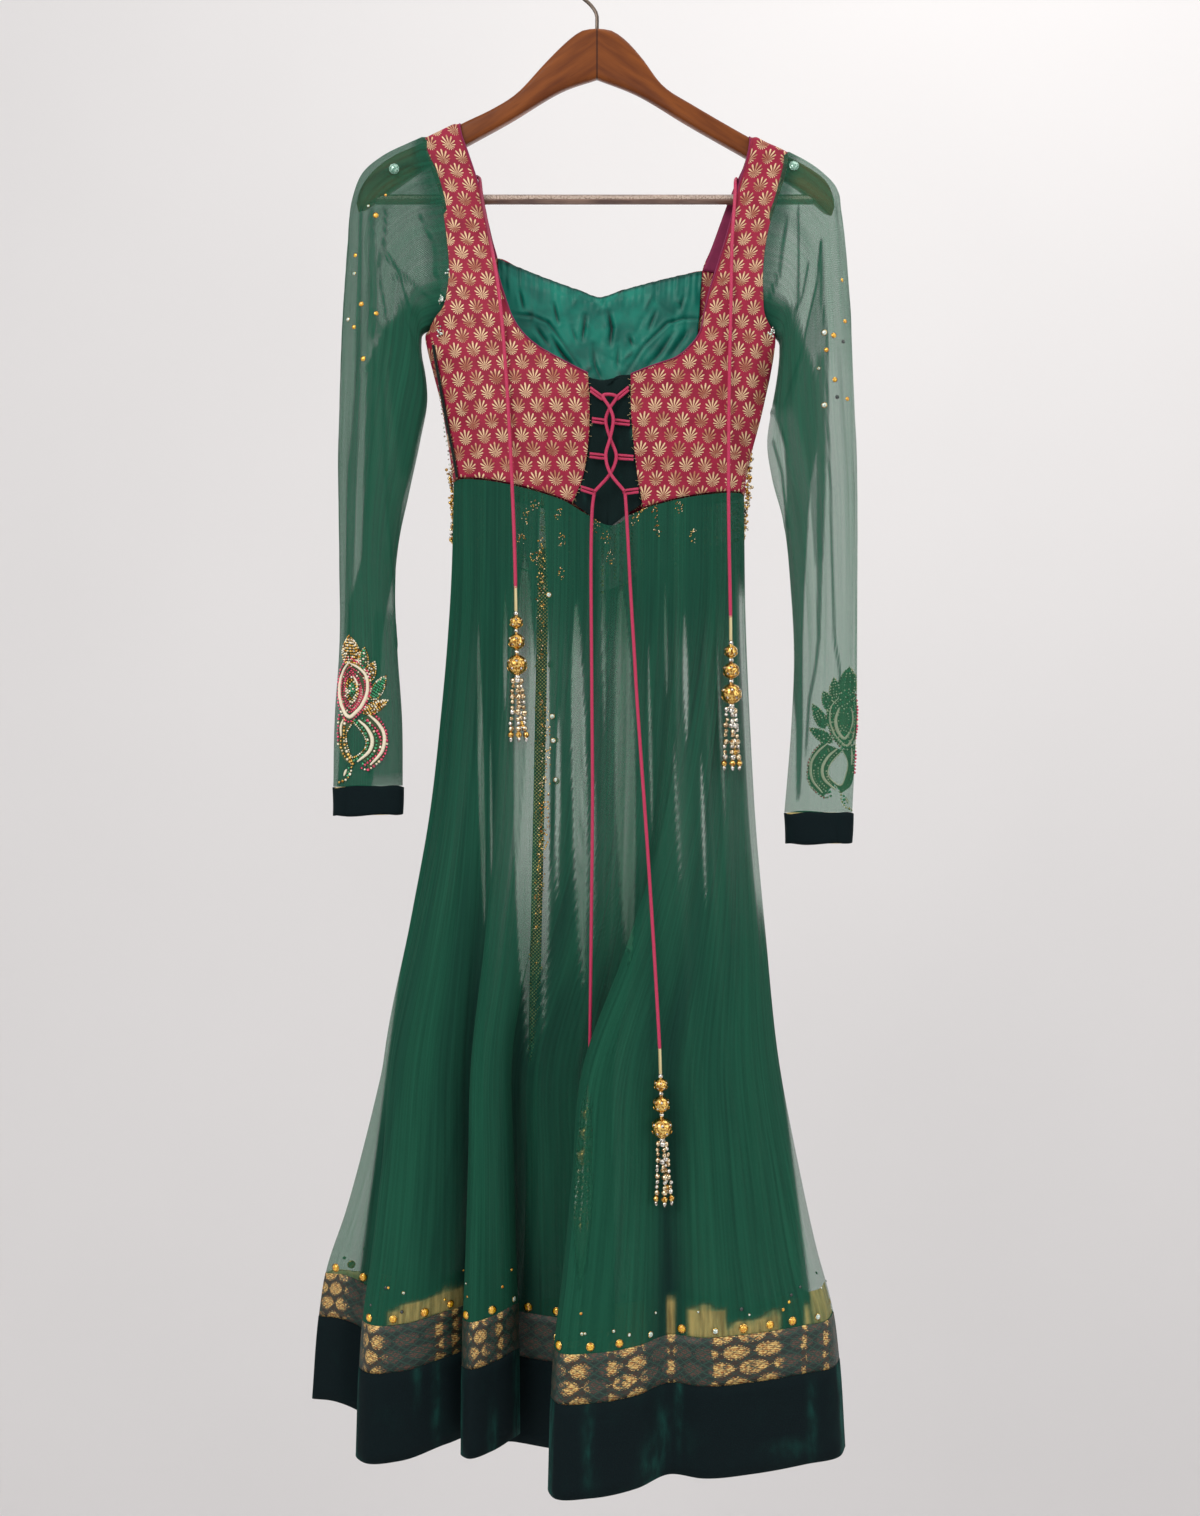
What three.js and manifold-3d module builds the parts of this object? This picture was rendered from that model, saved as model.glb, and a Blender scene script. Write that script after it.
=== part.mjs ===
// Embroidered anarkali kurta hanging on a wooden clothes hanger.
// Millimetres, +Z up, +X to the viewer's right, the kurta's front towards -Y.
// The origin is the inside top of the hanger's hook, where a rail or nail carries it.

import * as THREE from 'three';
import { mergeVertices } from 'three/addons/utils/BufferGeometryUtils.js';
import Module from 'manifold-3d';

const wasm = await Module();
wasm.setup();

// ---------------------------------------------------------------- driving sizes

const SEAM = 0.3;              // gap left between two pieces at a seam
const SEWN = 1.2;              // a gathered edge stands this far below the edge it is sewn to
const NET = 1.0;               // wall of the sheer net, sleeves and skirt
const BROCADE = 1.5;           // wall of the brocade pieces with their backing
const VELVET = 2.0;            // wall of the velvet bands
const SATIN = 1.2;             // wall of the satin lining
const LAID = 0.5;              // between a layer and the cloth it lies on

const WOOD = { thick: 12, round: 3.5, crown: -62, underCrown: -108 };
const MITRE = { past: 10, tall: 80 };   // how far an arm is drawn past the centre, and the trimming block
const BAR = { radius: 4.7, left: -207, right: 202, z: -221 };
const HOOK = { wire: 3.5, inner: 18, bore: 4.2, depth: 14, footGap: 1 };

const WAIST = -490;            // height where the skirt's flare is counted from
const ROUNDNESS = 2.6;         // exponent of the torso's rounded-box section

// ---------------------------------------------------------------- small helpers

const point = (x, y, z) => new THREE.Vector3(x, y, z);
const mix = THREE.MathUtils.lerp;

// Reads one column of a table at a given value of its key column.
function lookUp(table, key, value, column) {
  const rising = table[table.length - 1][key] > table[0][key];
  const rows = rising ? table : [...table].reverse();
  if (value <= rows[0][key]) return rows[0][column];
  for (let i = 1; i < rows.length; i += 1) {
    const [low, high] = [rows[i - 1], rows[i]];
    if (value <= high[key]) {
      return mix(low[column], high[column], (value - low[key]) / (high[key] - low[key]));
    }
  }
  return rows[rows.length - 1][column];
}

function closedGeometry(vertices, triangles) {
  let volume = 0;
  for (const [a, b, c] of triangles) {
    volume += vertices[a].dot(vertices[b].clone().cross(vertices[c]));
  }
  const faces = volume < 0 ? triangles.map(([a, b, c]) => [a, c, b]) : triangles;
  const geometry = new THREE.BufferGeometry();
  const positions = vertices.flatMap((v) => v.toArray());
  geometry.setAttribute('position', new THREE.Float32BufferAttribute(positions, 3));
  geometry.setIndex(faces.flat());
  geometry.computeVertexNormals();
  return geometry;
}

// A cloth surface is a grid of points with the outward direction at each one.
// `across` says that the last column joins the first, as it does round a sleeve.
function surface(points, outward, across = false) {
  const rows = points.length;
  const columns = points[0].length;
  const at = (r, c) => {
    const row = points[THREE.MathUtils.clamp(r, 0, rows - 1)];
    return row[across ? (c + columns) % columns : THREE.MathUtils.clamp(c, 0, columns - 1)];
  };
  const normals = points.map((row, r) => row.map((_, c) => {
    const alongRow = at(r, c + 1).clone().sub(at(r, c - 1));
    const upColumn = at(r + 1, c).clone().sub(at(r - 1, c));
    return alongRow.cross(upColumn).normalize();
  }));
  let agreement = 0;
  points.forEach((row, r) => row.forEach((p, c) => { agreement += normals[r][c].dot(outward(p)); }));
  if (agreement < 0) normals.forEach((row) => row.forEach((n) => n.negate()));
  return { points, normals, across };
}

// Two surfaces that share a column of points are given one outward direction along it, so that
// their walls meet in one plane.
function matchEdges([fromRow, toRow], [first, firstColumn], [second, secondColumn]) {
  for (let r = fromRow; r <= toRow; r += 1) {
    const shared = first.normals[r][firstColumn].clone().add(second.normals[r][secondColumn]).normalize();
    first.normals[r][firstColumn] = shared;
    second.normals[r][secondColumn] = shared.clone();
  }
}

// A wall of cloth cut out of a surface: rows and columns are inclusive ranges, `lift` moves it
// outward, `keep` leaves cells out, and each cut edge stands half a seam back from the line.
function cloth(base, thick, { rows, columns, lift = 0, keep = () => true, seam = SEAM } = {}) {
  const [r0, r1] = rows ?? [0, base.points.length - 1];
  const [c0, c1] = columns ?? [0, base.points[0].length - (base.across ? 0 : 1)];
  const around = base.across && !columns;
  const width = around ? base.points[0].length : c1 - c0 + 1;
  const height = r1 - r0 + 1;
  const fetch = (list, r, c) => list[r][c % base.points[0].length];

  const middle = [];
  for (let r = r0; r <= r1; r += 1) {
    for (let c = c0; c < c0 + width; c += 1) {
      const normal = fetch(base.normals, r, c);
      const p = fetch(base.points, r, c).clone();
      const pull = (rr, cc) => {
        const inwardStep = fetch(base.points, rr, cc).clone().sub(fetch(base.points, r, c));
        p.addScaledVector(inwardStep.normalize(), seam / 2);
      };
      if (r === r0) pull(r + 1, c);
      if (r === r1) pull(r - 1, c);
      if (!around && c === c0) pull(r, c + 1);
      if (!around && c === c1) pull(r, c - 1);
      middle.push({ p: p.addScaledVector(normal, lift), normal });
    }
  }

  const used = new Map();
  const vertices = [];
  const vertex = (i, side) => {
    const name = `${i}/${side}`;
    if (!used.has(name)) {
      used.set(name, vertices.length);
      vertices.push(middle[i].p.clone().addScaledVector(middle[i].normal, (side * thick) / 2));
    }
    return used.get(name);
  };
  const triangles = [];
  const edges = new Map();
  for (let r = 0; r < height - 1; r += 1) {
    for (let c = 0; c < (around ? width : width - 1); c += 1) {
      if (!keep(r + r0, c + c0)) continue;
      const next = (c + 1) % width;
      const corner = [r * width + c, r * width + next, (r + 1) * width + next, (r + 1) * width + c];
      const [a, b, d, e] = corner.map((i) => vertex(i, 1));
      const [f, g, h, k] = corner.map((i) => vertex(i, -1));
      triangles.push([a, b, d], [a, d, e], [f, h, g], [f, k, h]);
      corner.forEach((from, n) => {
        const to = corner[(n + 1) % 4];
        if (!edges.delete(`${to}>${from}`)) edges.set(`${from}>${to}`, [from, to]);
      });
    }
  }
  for (const [from, to] of edges.values()) {
    const [a, b] = [vertex(from, 1), vertex(to, 1)];
    const [c, d] = [vertex(from, -1), vertex(to, -1)];
    triangles.push([b, a, c], [b, c, d]);
  }
  return closedGeometry(vertices, triangles);
}

// A round cord along a smooth route.
function cord(route, diameter, steps, sides = 8) {
  const section = new THREE.Shape();
  for (let i = 0; i < sides; i += 1) {
    const angle = (i / sides) * 2 * Math.PI;
    const [x, y] = [Math.cos(angle), Math.sin(angle)].map((v) => (v * diameter) / 2);
    if (i) section.lineTo(x, y);
    else section.moveTo(x, y);
  }
  section.closePath();
  const places = route.map(([x, y, z]) => point(x, y, z));
  const extrudePath = new THREE.CatmullRomCurve3(places, false, 'centripetal');
  return new THREE.ExtrudeGeometry(section, { steps, bevelEnabled: false, extrudePath });
}

function toSolid(geometry) {
  const bare = geometry.clone();
  bare.deleteAttribute('normal');
  bare.deleteAttribute('uv');
  const merged = mergeVertices(bare, 1e-4);
  return new wasm.Manifold(new wasm.Mesh({
    numProp: 3,
    vertProperties: new Float32Array(merged.attributes.position.array),
    triVerts: new Uint32Array(merged.index.array),
  }));
}

function fromSolid(solid) {
  const { vertProperties, triVerts } = solid.getMesh();
  const geometry = new THREE.BufferGeometry();
  geometry.setAttribute('position', new THREE.BufferAttribute(vertProperties, 3));
  geometry.setIndex(new THREE.BufferAttribute(triVerts, 1));
  geometry.computeVertexNormals();
  return geometry;
}

// ---------------------------------------------------------------- the group and its finishes

const kurta = new THREE.Group();

const finishes = {
  wood: { color: 0x69321a, roughness: 0.35, metalness: 0 },
  darkBar: { color: 0x3b2620, roughness: 0.3, metalness: 0.4 },
  steel: { color: 0xb9bcc0, roughness: 0.25, metalness: 1 },
  net: { color: 0x1e553c, roughness: 0.8, metalness: 0 },
  brocade: { color: 0x963040, roughness: 0.55, metalness: 0.1 },
  backing: { color: 0x6e143c, roughness: 0.6, metalness: 0 },
  satin: { color: 0x146e55, roughness: 0.35, metalness: 0 },
  velvet: { color: 0x08201e, roughness: 0.9, metalness: 0 },
  goldBrocade: { color: 0xb07c3c, roughness: 0.45, metalness: 0.5 },
  beadwork: { color: 0xb8964a, roughness: 0.35, metalness: 0.6 },
  cord: { color: 0xcd325a, roughness: 0.5, metalness: 0 },
  zip: { color: 0x2a2426, roughness: 0.6, metalness: 0 },
};

function add(name, geometry, finish) {
  const mesh = new THREE.Mesh(geometry, new THREE.MeshStandardMaterial(finishes[finish]));
  mesh.name = name;
  kurta.add(mesh);
}

// ---------------------------------------------------------------- hanger

// Top outline of each arm from the crown to the rounded end, then the underside back.
const ARMS = {
  left: {
    top: [[-14, -64], [-29, -75], [-49, -95], [-74, -122], [-97, -137], [-124, -150], [-164, -169.5],
      [-190, -181], [-209, -195], [-220, -210], [-225, -226]],
    under: [[-223, -233], [-217, -230], [-160, -191.5], [-120, -169.5], [-81, -148], [-35, -120.5]],
  },
  right: {
    top: [[14, -64], [28, -74], [43, -91], [62, -116], [90, -134], [143, -164.5], [181, -183],
      [203, -195.5], [215, -206], [221, -220], [222, -230]],
    under: [[219, -236], [213, -233], [181, -206.5], [138, -181], [87, -152], [40, -124]],
  },
};

// One arm, drawn a little past the centre so that its rounded end can be cut off square.
function armGeometry({ top, under }) {
  const pastCentre = -Math.sign(top[0][0]) * MITRE.past;
  const outline = new THREE.Shape();
  outline.moveTo(pastCentre, WOOD.crown);
  for (const [x, z] of [...top, ...under]) outline.lineTo(x, z);
  outline.lineTo(pastCentre, WOOD.underCrown);
  outline.closePath();
  const bevel = WOOD.round;
  const geometry = new THREE.ExtrudeGeometry(outline, {
    depth: WOOD.thick - 2 * bevel,
    bevelThickness: bevel,
    bevelSize: bevel,
    bevelOffset: -bevel,
    bevelSegments: 2,
  });
  geometry.translate(0, 0, -(WOOD.thick / 2 - bevel));
  geometry.rotateX(Math.PI / 2);
  return geometry;
}

function upright(radius, z0, z1) {
  const geometry = new THREE.CylinderGeometry(radius, radius, z1 - z0, 12);
  geometry.rotateX(Math.PI / 2);
  geometry.translate(0, 0, (z0 + z1) / 2);
  return geometry;
}

function crosswise(radius, x0, x1, z) {
  const geometry = new THREE.CylinderGeometry(radius, radius, x1 - x0, 12);
  geometry.rotateZ(Math.PI / 2);
  geometry.translate((x0 + x1) / 2, 0, z);
  return geometry;
}

// The block that trims an arm square at the mitre in the middle of the hanger.
function mitreBlock(armSign) {
  const width = 4 * MITRE.past;
  const block = new THREE.BoxGeometry(width, 4 * WOOD.thick, MITRE.tall);
  block.translate(armSign * (SEAM / 2 - width / 2), 0, (WOOD.crown + WOOD.underCrown) / 2);
  return block;
}

const stemBore = toSolid(upright(HOOK.bore / 2, WOOD.crown - HOOK.depth, WOOD.crown + HOOK.depth));
const barSocket = toSolid(crosswise(BAR.radius + SEAM, BAR.left - SEAM, BAR.right + SEAM, BAR.z));
for (const [side, outline] of Object.entries(ARMS)) {
  const arm = toSolid(armGeometry(outline));
  const trimmed = arm.subtract(toSolid(mitreBlock(side === 'left' ? -1 : 1)));
  add(`hanger_arm_${side}`, fromSolid(trimmed.subtract(stemBore).subtract(barSocket)), 'wood');
}
add('hanger_bar', crosswise(BAR.radius, BAR.left, BAR.right, BAR.z), 'darkBar');

// The wire leaves the crown upright, leans left and rounds over clockwise to a short free end.
const hookRadius = HOOK.inner + HOOK.wire / 2;
const hookFoot = WOOD.crown - HOOK.depth + HOOK.footGap;
const hookRoute = [[0, 0, hookFoot], [0, 0, -58], [-0.5, 0, -47], [-6, 0, -38.5]];
for (let angle = 215; angle >= -25; angle -= 20) {
  const turn = THREE.MathUtils.degToRad(angle);
  hookRoute.push([hookRadius * Math.cos(turn), 0, -HOOK.inner + hookRadius * Math.sin(turn)]);
}
add('hanger_hook', cord(hookRoute, HOOK.wire, 32), 'steel');

// ---------------------------------------------------------------- torso envelope

// How far the front and back stand from the hanger's plane. Above the underarm the sides are
// open, so the half width there is wider than the cloth and keeps the straps nearly flat.
const TORSO = [
  { z: -160, centre: 4, half: 300, front: 9, back: 9 },
  { z: -225, centre: 4, half: 280, front: 12, back: 11 },
  { z: -285, centre: 4, half: 230, front: 24, back: 15 },
  { z: -330, centre: 4, half: 182, front: 34, back: 19 },
  { z: -348, centre: 4, half: 163, front: 37, back: 20 },
  { z: -362, centre: 4, half: 162, front: 39, back: 21 },
  { z: -420, centre: 5.5, half: 149, front: 40, back: 21 },
  { z: -485, centre: 2, half: 135.5, front: 35, back: 20 },
  { z: -620, centre: 1, half: 137, front: 32, back: 20 },
];

function torso(z) {
  const read = (column) => lookUp(TORSO, 'z', z, column);
  return { centre: read('centre'), half: read('half'), front: read('front'), back: read('back') };
}

function faceDepth(x, z, side) {
  const { centre, half, [side]: depth } = torso(z);
  const share = Math.min(1, Math.abs(x - centre) / half);
  const reach = depth * (1 - share ** ROUNDNESS) ** (1 / ROUNDNESS);
  return side === 'front' ? -reach : reach;
}

// Point on the torso ring at an angle: 0 at the wearer's left side (+X), 90 at the back.
function ringPoint(z, angle) {
  const { centre, half, front, back } = torso(z);
  const power = 2 / ROUNDNESS;
  const [c, s] = [Math.cos(angle), Math.sin(angle)];
  const depth = s < 0 ? front : back;
  return point(
    centre + half * Math.sign(c) * Math.abs(c) ** power,
    depth * Math.sign(s) * Math.abs(s) ** power,
    z,
  );
}

function ringAngle(x, z, side) {
  const { centre, half } = torso(z);
  const share = THREE.MathUtils.clamp((x - centre) / half, -1, 1);
  const angle = Math.acos(Math.sign(share) * Math.abs(share) ** (ROUNDNESS / 2));
  return side === 'front' ? -angle : angle;
}

// ---------------------------------------------------------------- bodice

// Each side from the bodice's bottom to its shoulder. out: side seam, then armhole edge.
// in: front opening, then neckline. arch: how far the front's row rises between them.
// back: the back piece's strap line. Up to the underarm row the front and back share the out
// points.
const BODICE_LEFT = [
  { outX: -128, outZ: -484, inX: -22, inZ: -510.5, arch: 4, backX: -80, backZ: -500, centreZ: -518 },
  { outX: -131, outZ: -465, inX: -13.5, inZ: -490, arch: 2, backX: -82, backZ: -478, centreZ: -494 },
  { outX: -136, outZ: -440, inX: -8, inZ: -460, backX: -84, backZ: -450, centreZ: -462 },
  { outX: -141.5, outZ: -410, inX: -6.5, inZ: -427, backX: -86, backZ: -418, centreZ: -426 },
  { outX: -147, outZ: -380, inX: -8, inZ: -394, backX: -88, backZ: -384, centreZ: -390 },
  { outX: -150, outZ: -362, inX: -35, inZ: -380, backX: -89, backZ: -362, centreZ: -368 },
  { outX: -155, outZ: -348, inX: -57, inZ: -366.5, backX: -90, backZ: -344, centreZ: -352 },
  { outX: -149, outZ: -338, inX: -67, inZ: -357, backX: -91, backZ: -330, centreZ: -340 },
  { outX: -142, outZ: -330, inX: -75, inZ: -345.5, backX: -92, backZ: -316, centreZ: -330 },
  { outX: -137.5, outZ: -311, inX: -84, inZ: -322, backX: -93, backZ: -296, centreZ: -318 },
  { outX: -136.5, outZ: -290, inX: -90, inZ: -302.5, backX: -94, backZ: -271.5, centreZ: -307 },
  { outX: -138.5, outZ: -268, inX: -95, inZ: -280.5, backX: -98, backZ: -257 },
  { outX: -141.5, outZ: -245, inX: -100, inZ: -254, backX: -102, backZ: -240 },
  { outX: -146.5, outZ: -218, inX: -105.5, inZ: -227, backX: -107, backZ: -219 },
  { outX: -153, outZ: -198, inX: -112, inZ: -205, backX: -113, backZ: -201 },
  { outX: -159, outZ: -181, inX: -120, inZ: -181, backX: -121, backZ: -180 },
];
const BODICE_RIGHT = [
  { outX: 133, outZ: -497, inX: 42, inZ: -515, arch: 3, backX: 84, backZ: -505 },
  { outX: 137, outZ: -476, inX: 37.5, inZ: -491, arch: 1.5, backX: 86, backZ: -483 },
  { outX: 146, outZ: -450, inX: 34, inZ: -463, backX: 88, backZ: -456 },
  { outX: 154.5, outZ: -418, inX: 31, inZ: -431, backX: 90, backZ: -424 },
  { outX: 161.5, outZ: -389, inX: 30.5, inZ: -395, backX: 92, backZ: -390 },
  { outX: 164.5, outZ: -366, inX: 50, inZ: -387, backX: 94, backZ: -368 },
  { outX: 165, outZ: -353, inX: 76, inZ: -376.5, backX: 95, backZ: -350 },
  { outX: 160, outZ: -345, inX: 85, inZ: -368, backX: 96, backZ: -338 },
  { outX: 155, outZ: -337, inX: 91.5, inZ: -360, backX: 97, backZ: -326 },
  { outX: 153, outZ: -317, inX: 98.5, inZ: -333, backX: 98, backZ: -306 },
  { outX: 153, outZ: -296, inX: 104, inZ: -312, backX: 99.5, backZ: -283 },
  { outX: 155, outZ: -275, inX: 111, inZ: -290, backX: 108, backZ: -262 },
  { outX: 159, outZ: -254, inX: 118, inZ: -267, backX: 115, backZ: -243 },
  { outX: 166, outZ: -231, inX: 124.5, inZ: -243, backX: 122, backZ: -224 },
  { outX: 172.5, outZ: -211, inX: 131.5, inZ: -212, backX: 129.5, backZ: -205 },
  { outX: 177, outZ: -195.5, inX: 138.5, inZ: -190, backX: 137, backZ: -189 },
];
const UNDERARM = 6;            // last row that the front and the back share
const NECK = 10;               // row of the back neckline

// How the strap rounds over the wood: distance from the hanger's plane, drop below the ridge.
const OVER_ARM = [
  { reach: 9, drop: 7 },
  { reach: 7.8, drop: 2.4 },
  { reach: 4.5, drop: 0.5 },
  { reach: 0, drop: 0 },
];
const RIDGE_CLEAR = 2.6;       // middle of the strap above the wood's top
const STRAP_TOP = { left: { out: -161.5, in: -127.5 }, right: { out: 178, in: 142 } };
const FRONT_COLUMNS = 6;
const STRAP_COLUMNS = 4;
const CENTRE_COLUMNS = 10;

function woodTop(x) {
  const side = x < 0 ? 'left' : 'right';
  const outline = ARMS[side].top.map(([px, pz]) => ({ x: Math.abs(px), z: pz }));
  return lookUp(outline, 'x', Math.abs(x), 'z');
}

function overArmRows(side, columns, face) {
  const sign = face === 'front' ? -1 : 1;
  const edge = STRAP_TOP[side];
  return OVER_ARM.map(({ reach, drop }) => columns.map((share) => {
    const x = mix(edge.in, edge.out, share);
    return point(x, sign * reach, woodTop(x) + RIDGE_CLEAR - drop);
  }));
}

const shares = (count) => Array.from({ length: count + 1 }, (_, i) => i / count);

// A front half: rows from the bottom to the shoulder ridge, columns from the opening outwards.
function frontHalf(table, side) {
  const body = table.map((row) => shares(FRONT_COLUMNS).map((share) => {
    const x = mix(row.inX, row.outX, share);
    const z = mix(row.inZ, row.outZ, share) + (row.arch ?? 0) * 4 * share * (1 - share);
    return point(x, faceDepth(x, z, 'front'), z);
  }));
  const overArm = overArmRows(side, shares(FRONT_COLUMNS), 'front');
  return surface([...body, ...overArm], () => point(0, -1, 0));
}

const fronts = { left: frontHalf(BODICE_LEFT, 'left'), right: frontHalf(BODICE_RIGHT, 'right') };

// The back: one grid with both straps; above the neckline only the strap columns are cloth.
function backStrapPoint(row, share, shared) {
  const startAngle = ringAngle(row.outX, row.outZ, shared ? 'front' : 'back');
  const endAngle = ringAngle(row.backX, row.backZ, 'back');
  const turned = shared && row.outX < 0 ? startAngle + 2 * Math.PI : startAngle;
  return ringPoint(mix(row.outZ, row.backZ, share), mix(turned, endAngle, share));
}

const backPoints = BODICE_LEFT.map((left, r) => {
  const right = BODICE_RIGHT[r];
  const strap = (row) => shares(STRAP_COLUMNS).map((share) => backStrapPoint(row, share, r <= UNDERARM));
  const leftStrap = strap(left);
  const rightStrap = strap(right).reverse();
  const centreZ = left.centreZ ?? left.backZ;
  const centre = shares(CENTRE_COLUMNS).slice(1, -1).map((share) => {
    const x = mix(left.backX, right.backX, share);
    const dip = 1 - Math.abs(2 * share - 1);
    const z = mix(mix(left.backZ, right.backZ, share), centreZ, dip);
    return point(x, faceDepth(x, z, 'back'), z);
  });
  return [...leftStrap, ...centre, ...rightStrap];
});
const strapShares = shares(STRAP_COLUMNS);
const leftTop = overArmRows('left', [...strapShares].reverse(), 'back');
const rightTop = overArmRows('right', strapShares, 'back');
const blankCentre = (row, n) => shares(CENTRE_COLUMNS).slice(1, -1).map((share) => (
  row[STRAP_COLUMNS].clone().lerp(rightTop[n][0], share)));
const backTop = leftTop.map((row, n) => [...row, ...blankCentre(row, n), ...rightTop[n]]);
const back = surface([...backPoints, ...backTop], () => point(0, 1, 0));
matchEdges([0, UNDERARM], [fronts.left, FRONT_COLUMNS], [back, 0]);
matchEdges([0, UNDERARM], [fronts.right, FRONT_COLUMNS], [back, 2 * STRAP_COLUMNS + CENTRE_COLUMNS]);
for (const [side, base] of Object.entries(fronts)) {
  add(`bodice_front_${side}`, cloth(base, BROCADE), 'brocade');
}

const CORNER = { left: STRAP_COLUMNS, right: STRAP_COLUMNS + CENTRE_COLUMNS };
const isCloth = (r, c) => r < NECK || c < CORNER.left || c >= CORNER.right;
add('bodice_back', cloth(back, BROCADE, { keep: isCloth }), 'brocade');

// Linings that show inside the neck: satin across the back, a plain facing up each back strap.
const INSIDE = -(BROCADE / 2 + LAID + SATIN / 2);
const LINING_FOOT = 2;         // row where the satin lining ends, above the bodice's bottom
const shoulderRows = [NECK, BODICE_LEFT.length - 1];
const lining = (rows, columns) => cloth(back, SATIN, { rows, columns, lift: INSIDE });
add('back_lining', lining([LINING_FOOT, NECK], [CORNER.left, CORNER.right]), 'satin');
add('strap_lining_left', lining(shoulderRows, [0, CORNER.left]), 'backing');
add('strap_lining_right', lining(shoulderRows, [CORNER.right, CORNER.right + STRAP_COLUMNS]), 'backing');

// Zip laid over the left side seam.
const ZIP = { half: 1.3, thick: 1, beyond: 0.5 };
const zipRows = BODICE_LEFT.slice(0, UNDERARM).map(({ outX, outZ }) => {
  const edges = [-ZIP.half, ZIP.half].map((offset) => outX - ZIP.beyond + offset);
  return edges.map((x) => point(x, faceDepth(x, outZ, 'front'), outZ));
});
const zipBase = surface(zipRows, () => point(-1, -1, 0));
const zipLift = BROCADE / 2 + LAID + ZIP.thick / 2;
add('side_zip', cloth(zipBase, ZIP.thick, { lift: zipLift, seam: 0 }), 'zip');

// ---------------------------------------------------------------- laced front

// The velvet placket behind the opening ends in a point below the two front corners.
const PLACKET = [
  { z: -534, left: 6, right: 12 },
  { z: -521, left: -8, right: 27 },
  { z: -509, left: -22, right: 43 },
  { z: -492, left: -27, right: 49 },
  { z: -464, left: -22, right: 46 },
  { z: -426, left: -20, right: 44 },
  { z: -396, left: -20, right: 43 },
  { z: -386, left: -16, right: 38 },
];
const PLACKET_COLUMNS = 4;
const placketInside = BROCADE + LAID;
const placketRows = PLACKET.map(({ z, left, right }) => shares(PLACKET_COLUMNS).map((share) => {
  const x = mix(left, right, share);
  return point(x, faceDepth(x, z, 'front') + placketInside, z);
}));
add('lacing_placket', cloth(surface(placketRows, () => point(0, -1, 0)), BROCADE, { seam: 0 }), 'velvet');

// Four cord loops on each front edge: where each is sewn, and its tip.
const LACE = { diameter: 3, loop: 2.4, pair: 1.5, loopY: -41.5, underY: -44.8, overY: -48.4, inset: 1.4 };
const LOOP_TURN = 0.12;        // share of a loop's length taken by its rounded tip
const LOOPS = [
  { leftX: -7.6, leftZ: -409, leftTip: 5.5, rightX: 30.2, rightZ: -408.5, rightTip: 17.5, tipZ: -416.5 },
  { leftX: -5.9, leftZ: -437, leftTip: 8, rightX: 31.2, rightZ: -440, rightTip: 14.8, tipZ: -438.5 },
  { leftX: -8, leftZ: -469, leftTip: 8, rightX: 34.6, rightZ: -471.5, rightTip: 17.5, tipZ: -470.5 },
  { leftX: -16, leftZ: -499, leftTip: -2, rightX: 39.2, rightZ: -501, rightTip: 24.5, tipZ: -502.5 },
];
LOOPS.forEach((row, n) => {
  for (const side of ['left', 'right']) {
    const start = row[`${side}X`] + (side === 'left' ? LACE.inset : -LACE.inset);
    const [startZ, tip] = [row[`${side}Z`], row[`${side}Tip`]];
    const bend = mix(tip, start, LOOP_TURN);
    const route = [
      [start, LACE.loopY, startZ + LACE.pair],
      [bend, LACE.loopY, row.tipZ + LACE.pair],
      [tip, LACE.loopY, row.tipZ],
      [bend, LACE.loopY, row.tipZ - LACE.pair],
      [start, LACE.loopY, startZ - LACE.pair],
    ];
    add(`lace_loop_${side}_${n + 1}`, cord(route, LACE.loop, 7, 6), 'cord');
  }
});

// The lace is one cord: its middle is the top bar, and its halves cross between the loops.
function crossing(n) {
  const [upper, lower] = [LOOPS[n], LOOPS[n + 1]];
  const x = (upper.leftTip + upper.rightTip + lower.leftTip + lower.rightTip) / 4;
  return { x, z: (upper.tipZ + lower.tipZ) / 2 };
}

function threadedHalf(startSide, depth) {
  const other = { left: 'right', right: 'left' };
  const route = [];
  let side = startSide;
  LOOPS.forEach((row, n) => {
    route.push([row[`${side}Tip`], depth, row.tipZ]);
    if (n < LOOPS.length - 1) route.push([crossing(n).x, depth, crossing(n).z]);
    side = other[side];
  });
  return route;
}
const overHalf = threadedHalf('left', LACE.overY);
const underHalf = threadedHalf('right', LACE.underY);
add('lace_threaded', cord([...[...underHalf].reverse(), ...overHalf], LACE.diameter, 44), 'cord');

// ---------------------------------------------------------------- sleeves

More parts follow.
